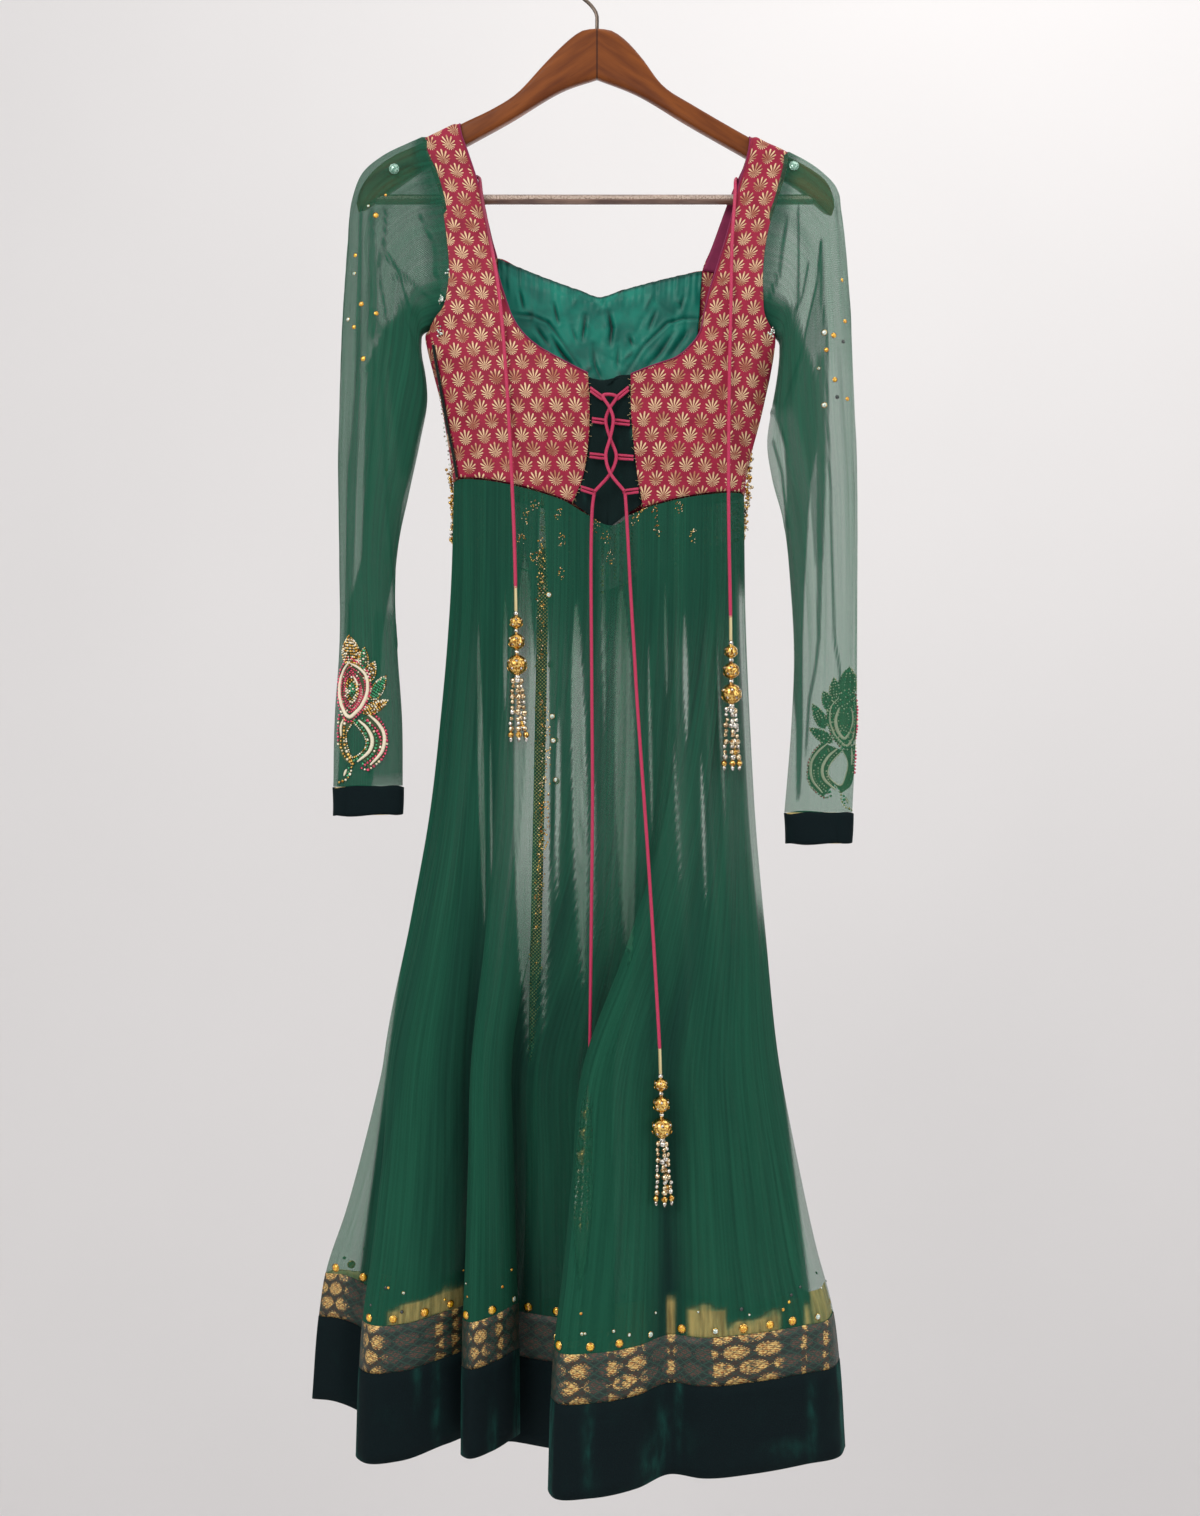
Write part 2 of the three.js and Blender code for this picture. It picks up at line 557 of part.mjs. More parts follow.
// Rings of each sleeve from the armhole to the wrist. out: the edge over the shoulder and down
// the outside. in: the edge from the underarm down. reach: half the depth. square: the section's
// exponent, blunter where the net is drawn over the end of the hanger.
const SLEEVE = {
  left: [
    { outX: -163.5, outZ: -163, inX: -161.5, inZ: -342, reach: 13, square: 4 },
    { outX: -178, outZ: -169.5, inX: -164, inZ: -348.5, reach: 13.5, square: 4 },
    { outX: -200, outZ: -180.5, inX: -165, inZ: -358, reach: 14, square: 4 },
    { outX: -219, outZ: -196.5, inX: -164, inZ: -369, reach: 14, square: 4 },
    { outX: -229, outZ: -222, inX: -161, inZ: -384, reach: 15, square: 4 },
    { outX: -232.5, outZ: -263, inX: -159, inZ: -406, reach: 17, square: 3 },
    { outX: -237, outZ: -324, inX: -165.5, inZ: -446, reach: 18, square: 2.6 },
    { outX: -240, outZ: -399, inX: -175, inZ: -490, reach: 18, square: 2.6 },
    { outX: -241.5, outZ: -480, inX: -185, inZ: -536, reach: 17, square: 2.6 },
    { outX: -240.5, outZ: -558, inX: -190, inZ: -587, reach: 16, square: 2.6 },
    { outX: -240, outZ: -634, inX: -187, inZ: -645, reach: 15, square: 2.6 },
    { outX: -245, outZ: -708, inX: -182.5, inZ: -711, reach: 13, square: 2.6 },
    { outX: -247, outZ: -771, inX: -182, inZ: -770, reach: 11, square: 2.6 },
    { outX: -247, outZ: -798, inX: -183, inZ: -797, reach: 10.5, square: 2.6 },
  ],
  right: [
    { outX: 179.5, outZ: -177, inX: 168.5, inZ: -347, reach: 13, square: 4 },
    { outX: 194, outZ: -184.5, inX: 170.5, inZ: -355, reach: 13.5, square: 4 },
    { outX: 211, outZ: -196.5, inX: 171, inZ: -365, reach: 14, square: 4 },
    { outX: 224, outZ: -211, inX: 170, inZ: -378, reach: 14, square: 4 },
    { outX: 227, outZ: -231, inX: 167.5, inZ: -396, reach: 15, square: 4 },
    { outX: 231.5, outZ: -263, inX: 163, inZ: -421, reach: 17, square: 3 },
    { outX: 237, outZ: -324, inX: 159.5, inZ: -448, reach: 18, square: 2.6 },
    { outX: 240, outZ: -395, inX: 164, inZ: -482, reach: 18, square: 2.6 },
    { outX: 242.5, outZ: -465, inX: 174.5, inZ: -521, reach: 17, square: 2.6 },
    { outX: 243.5, outZ: -558, inX: 182, inZ: -587, reach: 16, square: 2.6 },
    { outX: 243.5, outZ: -634, inX: 185, inZ: -645, reach: 15, square: 2.6 },
    { outX: 243, outZ: -708, inX: 182.5, inZ: -711, reach: 13, square: 2.6 },
    { outX: 239, outZ: -795, inX: 175.5, inZ: -795, reach: 11, square: 2.6 },
    { outX: 238, outZ: -824, inX: 177, inZ: -824, reach: 10.5, square: 2.6 },
  ],
};
const AROUND = 16;             // points round a sleeve
const WRIST = 12;              // ring where the net meets the cuff
const ARMHOLE_CLEAR = 1.4;     // from the bodice's armhole edge to the net

function sleeveRing(row, n, side) {
  return Array.from({ length: AROUND }, (_, i) => {
    const angle = (i / AROUND) * 2 * Math.PI;
    const [c, s] = [Math.cos(angle), Math.sin(angle)];
    const share = (1 - Math.sign(c) * Math.abs(c) ** (2 / row.square)) / 2;
    const swell = Math.sign(s) * Math.abs(s) ** (2 / row.square);
    const x = mix(row.outX, row.inX, share);
    const z = mix(row.outZ, row.inZ, share);
    if (n > 0) return point(x, -row.reach * swell, z);
    return armholePoint(x, z, swell, side, row);
  });
}

// The first ring follows the armhole's own edge, just outside it.
function armholePoint(x, z, swell, side, row) {
  const edge = (side === 'left' ? BODICE_LEFT : BODICE_RIGHT).slice(UNDERARM);
  const away = side === 'left' ? -ARMHOLE_CLEAR : ARMHOLE_CLEAR;
  const edgeX = lookUp(edge, 'outZ', z, 'outX') + away;
  const top = edge[edge.length - 1];
  const onEdge = z < top.outZ && z > edge[0].outZ + 2;
  const depth = onEdge ? Math.abs(faceDepth(edgeX, z, swell > 0 ? 'front' : 'back')) : row.reach;
  return point(onEdge ? edgeX : x, -swell * Math.max(depth, row.reach * 0.9), z);
}

const sleeves = {};
for (const [side, table] of Object.entries(SLEEVE)) {
  const rings = table.map((row, n) => sleeveRing(row, n, side));
  const centreOf = (ring) => ring.reduce((sum, p) => sum.add(p), point(0, 0, 0)).divideScalar(AROUND);
  const centres = new Map(rings.flatMap((ring) => ring.map((p) => [p, centreOf(ring)])));
  const base = surface(rings, (p) => p.clone().sub(centres.get(p)), true);
  sleeves[side] = base;
  add(`sleeve_${side}`, cloth(base, NET, { rows: [0, WRIST] }), 'net');
  add(`cuff_${side}`, cloth(base, VELVET, { rows: [WRIST, WRIST + 1] }), 'velvet');
  add(`cuff_facing_${side}`, cloth(base, NET, {
    rows: [WRIST, WRIST + 1], lift: -(VELVET / 2 + SEAM + NET / 2), seam: 2 * SEAM,
  }), 'goldBrocade');
}

// ---------------------------------------------------------------- sleeve motifs

// A place on a surface between its points, counted in columns and rows, moved out by `lift`.
function onSurface(base, column, row, lift) {
  const wrap = base.points[0].length;
  const [r, c] = [Math.floor(row), Math.floor(column)];
  const [fr, fc] = [row - r, column - c];
  const blend = (list) => {
    const get = (rr, cc) => list[rr][((cc % wrap) + wrap) % wrap];
    const low = get(r, c).clone().lerp(get(r, c + 1), fc);
    return low.lerp(get(r + 1, c).clone().lerp(get(r + 1, c + 1), fc), fr);
  };
  return blend(base.points).addScaledVector(blend(base.normals).normalize(), lift);
}

// The beaded motif is an upright leaf shape with a pinched waist, laid on the sleeve. Its middle
// and its half sizes are counted in columns round the sleeve and in rings down it.
const MOTIF = { around: 16, thick: 1.4, rings: [0.12, 0.4, 0.7, 1], pinch: 0.22, point: 0.1 };
function motif(base, { column, row, halfColumns, halfRows, lift }) {
  const rings = MOTIF.rings.map((size) => Array.from({ length: MOTIF.around }, (_, i) => {
    const angle = (i / MOTIF.around) * 2 * Math.PI;
    const pinched = 1 - MOTIF.pinch * Math.cos(2 * angle) ** 8;
    const pointed = 1 + MOTIF.point * Math.max(0, -Math.sin(angle)) ** 6;
    const across = column + halfColumns * size * pinched * Math.cos(angle);
    const down = row + halfRows * size * pointed * Math.sin(angle);
    return onSurface(base, across, down, lift);
  }));
  const face = surface(rings, () => point(0, -1, 0), true);
  const outward = onSurface(base, column, row, 1).sub(onSurface(base, column, row, 0)).normalize();
  face.normals.forEach((line) => line.forEach((normal) => normal.copy(outward)));
  return cloth(face, MOTIF.thick, { seam: 0 });
}
const MOTIFS = {
  left: { column: 3.5, row: 10.95, halfColumns: 2.5, halfRows: 0.98, lift: 2.4 },
  right: { column: 14, row: 11.1, halfColumns: 2.1, halfRows: 0.82, lift: 2.8 },
};
for (const [side, place] of Object.entries(MOTIFS)) {
  add(`applique_${side}`, motif(sleeves[side], place), 'beadwork');
}

// ---------------------------------------------------------------- skirt

// Where the front skirt's gathered edge is sewn on: the bodice's and the placket's lower line.
const FRONT_EDGE = [
  { x: -140, z: -490 },
  ...[...fronts.left.points[0]].reverse(),
  point(9, 0, PLACKET[0].z),
  ...fronts.right.points[0],
  { x: 145, z: -501 },
];
// The back's beaded border hangs below the back bodice and ends in a shallow point.
const BORDER_HEAD = [
  { x: -140, z: -491.5 },
  { x: -80, z: -500.5 },
  { x: 2, z: -518.5 },
  { x: 84, z: -505.5 },
  { x: 145, z: -501 },
];
const BORDER_FOOT = [{ x: -140, z: -541 }, { x: 2, z: -584 }, { x: 145, z: -530 }];

// How much of its way out each level has gone, counted down from the waist to the hem.
const FLARE = [
  { down: 0, out: 0 }, { down: 0.14, out: 0.012 }, { down: 0.25, out: 0.065 },
  { down: 0.36, out: 0.14 }, { down: 0.47, out: 0.26 }, { down: 0.6, out: 0.42 },
  { down: 0.7, out: 0.58 }, { down: 0.79, out: 0.745 }, { down: 0.86, out: 0.9 },
  { down: 0.908, out: 0.95 }, { down: 1, out: 1 },
];
const KNEE = { out: 0.42 };    // the level that the knee columns below give
const NET_FOOT = 8;            // level where the net meets the brocade band
const BAND_FOOT = 9;           // level where the brocade band meets the velvet

// The skirt's folds, one row for each line from waist to hem, left side to right side.
const FRONT_FOLDS = [
  { kneeX: -196, kneeY: 8, hemX: -271, hemY: 22, hemZ: -1354 },
  { kneeX: -197, kneeY: 2, hemX: -246, hemY: 13, hemZ: -1353 },
  { kneeX: -195, kneeY: -3, hemX: -219, hemY: 12, hemZ: -1366 },
  { kneeX: -193, kneeY: -8, hemX: -206, hemY: 0, hemZ: -1376 },
  { kneeX: -190, kneeY: -14, hemX: -222, hemY: -20, hemZ: -1388 },
  { kneeX: -183, kneeY: -20, hemX: -213, hemY: -31, hemZ: -1389 },
  { kneeX: -161, kneeY: -26, hemX: -181, hemY: -28, hemZ: -1389 },
  { kneeX: -135, kneeY: -17, hemX: -140, hemY: -5, hemZ: -1384 },
  { kneeX: -112, kneeY: -7, hemX: -111, hemY: 14, hemZ: -1384 },
  { kneeX: -105, kneeY: -14, hemX: -102, hemY: 3, hemZ: -1385 },
  { kneeX: -116, kneeY: -27, hemX: -125, hemY: -22, hemZ: -1386 },
  { kneeX: -110, kneeY: -34, hemX: -117, hemY: -32, hemZ: -1385 },
  { kneeX: -97, kneeY: -33, hemX: -96, hemY: -25, hemZ: -1381 },
  { kneeX: -84, kneeY: -25, hemX: -77, hemY: -9, hemZ: -1376 },
  { kneeX: -79, kneeY: -13, hemX: -73, hemY: 4, hemZ: -1379 },
  { kneeX: -86, kneeY: -2, hemX: -89, hemY: 15, hemZ: -1391 },
  { kneeX: -78, kneeY: 6, hemX: -79, hemY: 26, hemZ: -1397 },
  { kneeX: -50, kneeY: 4, hemX: -48, hemY: 25, hemZ: -1402 },
  { kneeX: -20, kneeY: -3, hemX: -15, hemY: 17, hemZ: -1404 },
  { kneeX: 9, kneeY: -9, hemX: 10, hemY: 6, hemZ: -1404 },
  { kneeX: 15, kneeY: -20, hemX: 17, hemY: -11, hemZ: -1400 },
  { kneeX: 3, kneeY: -35, hemX: -15, hemY: -45, hemZ: -1398 },
  { kneeX: -15, kneeY: -48, hemX: -43, hemY: -67, hemZ: -1395 },
  { kneeX: -11, kneeY: -57, hemX: -38, hemY: -80, hemZ: -1396 },
  { kneeX: 18, kneeY: -61, hemX: -5, hemY: -81, hemZ: -1396 },
  { kneeX: 45, kneeY: -55, hemX: 35, hemY: -68, hemZ: -1394 },
  { kneeX: 66, kneeY: -46, hemX: 66, hemY: -50, hemZ: -1390 },
  { kneeX: 88, kneeY: -50, hemX: 95, hemY: -56, hemZ: -1391 },
  { kneeX: 115, kneeY: -46, hemX: 140, hemY: -50, hemZ: -1390 },
  { kneeX: 145, kneeY: -34, hemX: 190, hemY: -36, hemZ: -1388 },
  { kneeX: 164, kneeY: -18, hemX: 224, hemY: -22, hemZ: -1387 },
  { kneeX: 170, kneeY: -4, hemX: 231, hemY: -6, hemZ: -1386 },
];
const BACK_FOLDS = [
  { kneeX: 170, kneeY: -4, hemX: 231, hemY: -6, hemZ: -1386 },
  { kneeX: 165, kneeY: 10, hemX: 226, hemY: 12, hemZ: -1385 },
  { kneeX: 145, kneeY: 22, hemX: 199, hemY: 31, hemZ: -1386 },
  { kneeX: 120, kneeY: 19, hemX: 165, hemY: 22, hemZ: -1388 },
  { kneeX: 96, kneeY: 29, hemX: 131, hemY: 42, hemZ: -1390 },
  { kneeX: 70, kneeY: 22, hemX: 95, hemY: 28, hemZ: -1391 },
  { kneeX: 46, kneeY: 30, hemX: 64, hemY: 46, hemZ: -1392 },
  { kneeX: 22, kneeY: 24, hemX: 30, hemY: 34, hemZ: -1392 },
  { kneeX: 1, kneeY: 23, hemX: 2, hemY: 33, hemZ: -1392 },
  { kneeX: -20, kneeY: 30, hemX: -28, hemY: 48, hemZ: -1392 },
  { kneeX: -52, kneeY: 26, hemX: -72, hemY: 40, hemZ: -1391 },
  { kneeX: -84, kneeY: 31, hemX: -115, hemY: 50, hemZ: -1388 },
  { kneeX: -114, kneeY: 24, hemX: -158, hemY: 34, hemZ: -1380 },
  { kneeX: -146, kneeY: 28, hemX: -200, hemY: 45, hemZ: -1368 },
  { kneeX: -176, kneeY: 20, hemX: -240, hemY: 36, hemZ: -1358 },
  { kneeX: -191, kneeY: 14, hemX: -266, hemY: 30, hemZ: -1354 },
  { kneeX: -196, kneeY: 8, hemX: -271, hemY: 22, hemZ: -1354 },
];

// A fold line's place at a height. Its waist point is spaced evenly round the waist ring.
function foldPoint(line, waist, z) {
  const down = (WAIST - z) / (WAIST - line.hemZ);
  const out = lookUp(FLARE, 'down', down, 'out');
  if (out <= KNEE.out) {
    const share = Math.max(0, out) / KNEE.out;
    return point(mix(waist.x, line.kneeX, share), mix(waist.y, line.kneeY, share), z);
  }
  const share = (out - KNEE.out) / (1 - KNEE.out);
  return point(mix(line.kneeX, line.hemX, share), mix(line.kneeY, line.hemY, share), z);
}

// Rows run from the hem up, so that they count the same way as the bodice's.
function skirtSurface(folds, face, edge) {
  const [from, to] = face === 'front' ? [-Math.PI, 0] : [0, Math.PI];
  const levels = [...FLARE].reverse();
  const rows = levels.map(({ down }, r) => folds.map((line, c) => {
    const waist = ringPoint(WAIST, mix(from, to, c / (folds.length - 1)));
    const atEdge = r === levels.length - 1;
    const z = atEdge ? lookUp(edge, 'x', waist.x, 'z') : mix(WAIST, line.hemZ, down);
    return foldPoint(line, waist, z - (atEdge ? SEWN : 0));
  }));
  return surface(rows, () => point(0, face === 'front' ? -1 : 1, 0));
}

const skirts = {
  front: skirtSurface(FRONT_FOLDS, 'front', FRONT_EDGE),
  back: skirtSurface(BACK_FOLDS, 'back', BORDER_FOOT),
};
const TOP_ROW = FLARE.length - 1;
matchEdges([0, TOP_ROW - 1], [skirts.front, 0], [skirts.back, BACK_FOLDS.length - 1]);
matchEdges([0, TOP_ROW - 1], [skirts.front, FRONT_FOLDS.length - 1], [skirts.back, 0]);
const NET_ROW = TOP_ROW - NET_FOOT;
const BAND_ROW = TOP_ROW - BAND_FOOT;
for (const [face, base] of Object.entries(skirts)) {
  const strip = (thick, rows) => cloth(base, thick, { rows, seam: 2 * SEAM });
  add(`skirt_${face}`, strip(NET, [NET_ROW, TOP_ROW]), 'net');
  add(`hem_brocade_${face}`, strip(BROCADE, [BAND_ROW, NET_ROW]), 'goldBrocade');
  add(`hem_velvet_${face}`, strip(VELVET, [0, BAND_ROW]), 'velvet');
}
add('hem_facing_back', cloth(skirts.back, NET, {
  rows: [BAND_ROW, NET_ROW], columns: [1, BACK_FOLDS.length - 2], lift: -(BROCADE / 2 + LAID + NET / 2),
}), 'goldBrocade');

// Beaded border below the back bodice, and the brocade strip that runs down the back skirt.
const BORDER = { columns: 18, rows: 2 };
const borderRows = shares(BORDER.rows).map((up) => shares(BORDER.columns).map((share) => {
  const angle = mix(Math.PI, 0, share);
  const { x } = ringPoint(WAIST, angle);
  const foot = lookUp(BORDER_FOOT, 'x', x, 'z');
  const head = lookUp(BORDER_HEAD, 'x', x, 'z') - SEWN;
  return ringPoint(mix(foot, head, up), angle);
}));
add('back_border', cloth(surface(borderRows, () => point(0, 1, 0)), BROCADE), 'beadwork');

const STRIP = { waistX: -52, footX: -66, half: 4.5, rows: 7, shy: 4 };
function backSkirtPoint(x, row) {
  const line = skirts.back.points[row];
  for (let c = 1; c < line.length; c += 1) {
    const [a, b] = [line[c - 1], line[c]];
    if ((a.x - x) * (b.x - x) <= 0) return a.clone().lerp(b, (x - a.x) / (b.x - a.x));
  }
  return line[0].clone();
}
const stripRows = Array.from({ length: STRIP.rows + 1 }, (_, n) => {
  const x = mix(STRIP.footX, STRIP.waistX, n / STRIP.rows);
  return [x - STRIP.half, x + STRIP.half].map((edge) => backSkirtPoint(edge, NET_ROW + n));
});
const stripLift = -(NET + 2 * LAID);
const stripBase = surface(stripRows, () => point(0, 1, 0));
add('back_strip', cloth(stripBase, NET, { lift: stripLift, seam: STRIP.shy }), 'goldBrocade');

// ---------------------------------------------------------------- hanging cords and tassels

const CORDS = {
  neck_cord_left: {
    diameter: 3.2, steps: 20,
    route: [
      [-113, 6, -197], [-110, -2, -202], [-108.5, -11, -209], [-107, -16, -221],
      [-104.5, -20, -237], [-101, -25, -254], [-97.5, -30, -272], [-94, -34.5, -290],
      [-90, -38, -315], [-86.5, -40.5, -345], [-84, -41.5, -375], [-81.5, -42, -410],
      [-79.5, -42, -445], [-77.5, -42, -485], [-75.5, -42.5, -530], [-74.2, -43, -570],
      [-73.8, -43, -590],
    ],
  },
  neck_cord_right: {
    diameter: 3.2, steps: 20,
    route: [
      [131, 6, -199], [129.5, -2, -204], [128.5, -11, -211], [127.8, -16, -223],
      [126.5, -20, -239], [125, -24.5, -256], [123.8, -28, -275], [123, -31.5, -300],
      [122.3, -34.5, -330], [121.5, -36, -360], [120.8, -36.5, -395], [120.3, -36.5, -430],
      [120, -36.5, -470], [120, -36.5, -510], [120.5, -36.5, -550], [121.3, -36.5, -590],
      [121.8, -36.5, -616],
    ],
  },
  lace_end_left: {
    diameter: 3, steps: 20,
    route: [
      [-2.5, -44.5, -505], [-4, -43, -515], [-4.8, -42, -530], [-5.2, -41.5, -550],
      [-5.4, -41, -575], [-5.2, -40.5, -610], [-4.9, -40, -650], [-4.6, -39.5, -690],
      [-4.2, -38.5, -735], [-4, -37.5, -780], [-4.3, -36, -825], [-4.9, -34.5, -870],
      [-5.4, -32.5, -915], [-5.9, -30, -960], [-6.4, -27.5, -1005], [-6.9, -25.5, -1040],
    ],
  },
  lace_end_right: {
    diameter: 3, steps: 20,
    route: [
      [25.5, -47, -505], [26.3, -46, -515], [27.2, -45, -530], [28.3, -44.5, -550],
      [29.8, -44.5, -580], [31.8, -44.8, -615], [33.9, -45.2, -650], [36.2, -45.8, -690],
      [39.3, -46.8, -735], [42.5, -48.3, -780], [45.6, -50.5, -825], [48.5, -53.2, -870],
      [51.2, -56.2, -915], [53.8, -59.5, -960], [56.2, -62.5, -1005],
    ],
  },
};
for (const [name, { route, diameter, steps }] of Object.entries(CORDS)) {
  add(name, cord(route, diameter, steps), 'cord');
}

// A tassel's outline below its cord: a bound neck, three balls between small beads, bead strands.
const TASSEL = [
  { drop: 0, radius: 1.6 }, { drop: 19, radius: 1.6 },
  { drop: 22, radius: 2.4 }, { drop: 24.5, radius: 2.4 },
  { drop: 28, radius: 6 }, { drop: 33.5, radius: 6 },
  { drop: 37, radius: 2.4 }, { drop: 41, radius: 2.4 },
  { drop: 45, radius: 7.2 }, { drop: 52, radius: 7.2 },
  { drop: 56, radius: 2.4 }, { drop: 60, radius: 2.4 },
  { drop: 65, radius: 9.2 }, { drop: 74, radius: 9.2 },
  { drop: 80, radius: 6 }, { drop: 120, radius: 8 }, { drop: 137, radius: 8.5 },
];
const TASSEL_SIDES = 8;

// It hangs from a point and leans to where its foot is.
function tassel(x, y, z, footX) {
  const outline = TASSEL.map(({ drop, radius }) => new THREE.Vector2(radius, -drop));
  const foot = -TASSEL[TASSEL.length - 1].drop;
  const profile = [new THREE.Vector2(0, 0), ...outline, new THREE.Vector2(0, foot)].reverse();
  const geometry = new THREE.LatheGeometry(profile, TASSEL_SIDES);
  geometry.rotateX(Math.PI / 2);
  geometry.rotateY(Math.asin((footX - x) / foot));
  geometry.translate(x, y, z - SEAM);
  return geometry;
}
const TASSEL_FEET = {
  tassel_neck_left: { on: 'neck_cord_left', footX: -71 },
  tassel_neck_right: { on: 'neck_cord_right', footX: 123 },
  tassel_lace_left: { on: 'lace_end_left', footX: -15 },
  tassel_lace_right: { on: 'lace_end_right', footX: 60 },
};
for (const [name, { on, footX }] of Object.entries(TASSEL_FEET)) {
  const [x, y, z] = CORDS[on].route[CORDS[on].route.length - 1];
  add(name, tassel(x, y, z, footX), 'beadwork');
}

export default kurta;
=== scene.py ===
# %% [markdown]
# # A laced anarkali kurta on a wooden hanger
# A long dress: a crimson brocade bodice laced over a velvet placket, and a full skirt and sleeves of
# sheer green net, with a brocade and velvet hem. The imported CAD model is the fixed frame: every piece
# is made from its nodes' own meshes, in metres, so nothing has to be fitted afterwards.

# %% Load the frame
import math
from collections import deque
from math import cos, hypot, pi, sin, sqrt

import bmesh
import bpy
import numpy as np
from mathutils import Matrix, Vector, kdtree
from mathutils.bvhtree import BVHTree
from numpy.linalg import norm
from numpy.random import default_rng


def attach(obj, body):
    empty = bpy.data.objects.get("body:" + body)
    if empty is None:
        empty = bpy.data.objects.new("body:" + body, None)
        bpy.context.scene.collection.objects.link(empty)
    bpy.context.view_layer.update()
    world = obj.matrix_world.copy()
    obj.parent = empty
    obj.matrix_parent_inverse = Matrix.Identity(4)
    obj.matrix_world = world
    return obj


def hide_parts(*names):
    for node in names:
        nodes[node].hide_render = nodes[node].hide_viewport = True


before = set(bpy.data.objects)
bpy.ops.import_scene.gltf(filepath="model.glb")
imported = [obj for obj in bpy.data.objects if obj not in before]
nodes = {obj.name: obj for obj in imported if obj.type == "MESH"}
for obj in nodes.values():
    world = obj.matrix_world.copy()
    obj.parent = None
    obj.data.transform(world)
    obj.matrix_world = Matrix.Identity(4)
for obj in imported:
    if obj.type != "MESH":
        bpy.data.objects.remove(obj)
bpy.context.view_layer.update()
MM = 0.001
SIDES = ("left", "right")

# %% [markdown]
# ## Camera
# The kurta is seen level and straight on, from the height of the middle of the skirt. The lens and
# the distance decide how much the near folds grow over the far ones, so both are real values, and
# the camera is not shifted or tilted.

# %% Camera
EYE = Vector((2.8 * MM, -1.350, -0.744))
FOCAL_LENGTH = 34.22          # millimetres, on a sensor 36 mm along the longer side


def put(name, data):
    """Puts a mesh, lamp or camera into the scene."""
    thing = bpy.data.objects.new(name, data)
    bpy.context.collection.objects.link(thing)
    return thing


camera_data = bpy.data.cameras.new("camera")
camera_data.lens, camera_data.sensor_width, camera_data.sensor_fit = FOCAL_LENGTH, 36, "AUTO"
camera = put("camera", camera_data)
camera.location = EYE
camera.rotation_euler = (math.radians(90), 0, 0)
bpy.context.scene.camera = camera
print("camera", tuple(round(v, 3) for v in camera.location))

# %% [markdown]
# ## Where the cords hang
# Two cords tie the neck at the shoulders, and the lace leaves two long ends. All four hang free and
# end in a tassel. A cord's shape is its centre line: a few points in millimetres, from its knot over
# the cloth and straight down, with a smooth curve through them.

# %% Cord routes, from the exit down to the tassel
ROUTES = {
    "neck_cord_left": [
        (-113, 6, -197), (-110, -2, -202), (-108.5, -11, -209), (-107, -16, -221), (-104.5, -20, -237),
        (-101, -25, -254), (-97.5, -30, -272), (-94, -34.5, -290), (-90, -38, -315), (-86.5, -40.5, -345),
        (-84, -41.5, -375), (-81.5, -42, -410), (-79.5, -42, -445), (-77.5, -42, -485), (-75.5, -42.5, -530),
        (-74.2, -43, -570), (-73.8, -43, -590)],
    "neck_cord_right": [
        (131, 6, -199), (129.5, -2, -204), (128.5, -11, -211), (127.8, -16, -223), (126.5, -20, -239),
        (125, -24.5, -256), (123.8, -28, -275), (123, -31.5, -300), (122.3, -34.5, -330), (121.5, -36, -360),
        (120.8, -36.5, -395), (120.3, -36.5, -430), (120, -36.5, -470), (120, -36.5, -510), (120.5, -36.5, -550),
        (121.3, -36.5, -590), (121.8, -36.5, -616)],
    "lace_end_left": [
        (-2.5, -44.5, -505), (-4, -43, -515), (-4.8, -42, -530), (-5.2, -41.5, -550), (-5.4, -41, -575),
        (-5.2, -40.5, -610), (-4.9, -40, -650), (-4.6, -39.5, -690), (-4.2, -38.5, -735), (-4, -37.5, -780),
        (-4.3, -36, -825), (-4.9, -34.5, -870), (-5.4, -32.5, -915), (-5.9, -30, -960), (-6.4, -27.5, -1005),
        (-6.9, -25.5, -1040)],
    "lace_end_right": [
        (25.5, -47, -505), (26.3, -46, -515), (27.2, -45, -530), (28.3, -44.5, -550), (29.8, -44.5, -580),
        (31.8, -44.8, -615), (33.9, -45.2, -650), (36.2, -45.8, -690), (39.3, -46.8, -735), (42.5, -48.3, -780),
        (45.6, -50.5, -825), (48.5, -53.2, -870), (51.2, -56.2, -915), (53.8, -59.5, -960), (56.2, -62.5, -1005)],
}
CORDS = {       # the tassel's node, its foot's x and the cord's diameter, in millimetres
    "neck_cord_left": ("tassel_neck_left", -71, 3.2),
    "neck_cord_right": ("tassel_neck_right", 123, 3.2),
    "lace_end_left": ("tassel_lace_left", -15, 3),
    "lace_end_right": ("tassel_lace_right", 60, 3),
}


def run_along(points):
    """How far along a line each point lies."""
    return np.concatenate([[0], np.cumsum(norm(np.diff(points, axis=0), axis=1))])


def evenly(points, count):
    run = run_along(points)
    return np.array([np.interp(np.linspace(0, run[-1], count), run, points[:, axis]) for axis in range(3)]).T


def smooth_route(points, step=3 * MM):
    """Even points on a smooth curve through the given ones."""
    knots = np.array(points, dtype=float)
    ahead = np.vstack([2 * knots[0] - knots[1], knots, 2 * knots[-1] - knots[-2]])
    parts = []
    for a, b, c, d in zip(ahead, ahead[1:], ahead[2:], ahead[3:]):
        t = np.linspace(0, 1, 12, endpoint=False)[:, None]
        parts.append(0.5 * (2 * b + (c - a) * t + (2 * a - 5 * b + 4 * c - d) * t**2
                            + (3 * b - a - 3 * c + d) * t**3))
    dense = np.vstack([*parts, knots[-1:]])
    return evenly(dense, max(2, round(run_along(dense)[-1] / step)) + 1)


def length_of(points):
    return float(norm(np.diff(points, axis=0), axis=1).sum())


cord_paths = {name: smooth_route(np.array(route) * MM) for name, route in ROUTES.items()}
for name, path in cord_paths.items():
    print(name, "hangs", round(length_of(path), 3), "m to its tassel")

# %% [markdown]
# ## One way of making every piece
# Most pieces are sheets: points in rows and columns. A `Piece` collects patches of points, each with
# its finish and its place on the cloth, and turns them into one mesh. The place is kept as a UV map
# in metres, so that a weave or a printed repeat has its real size in any fold or tube.

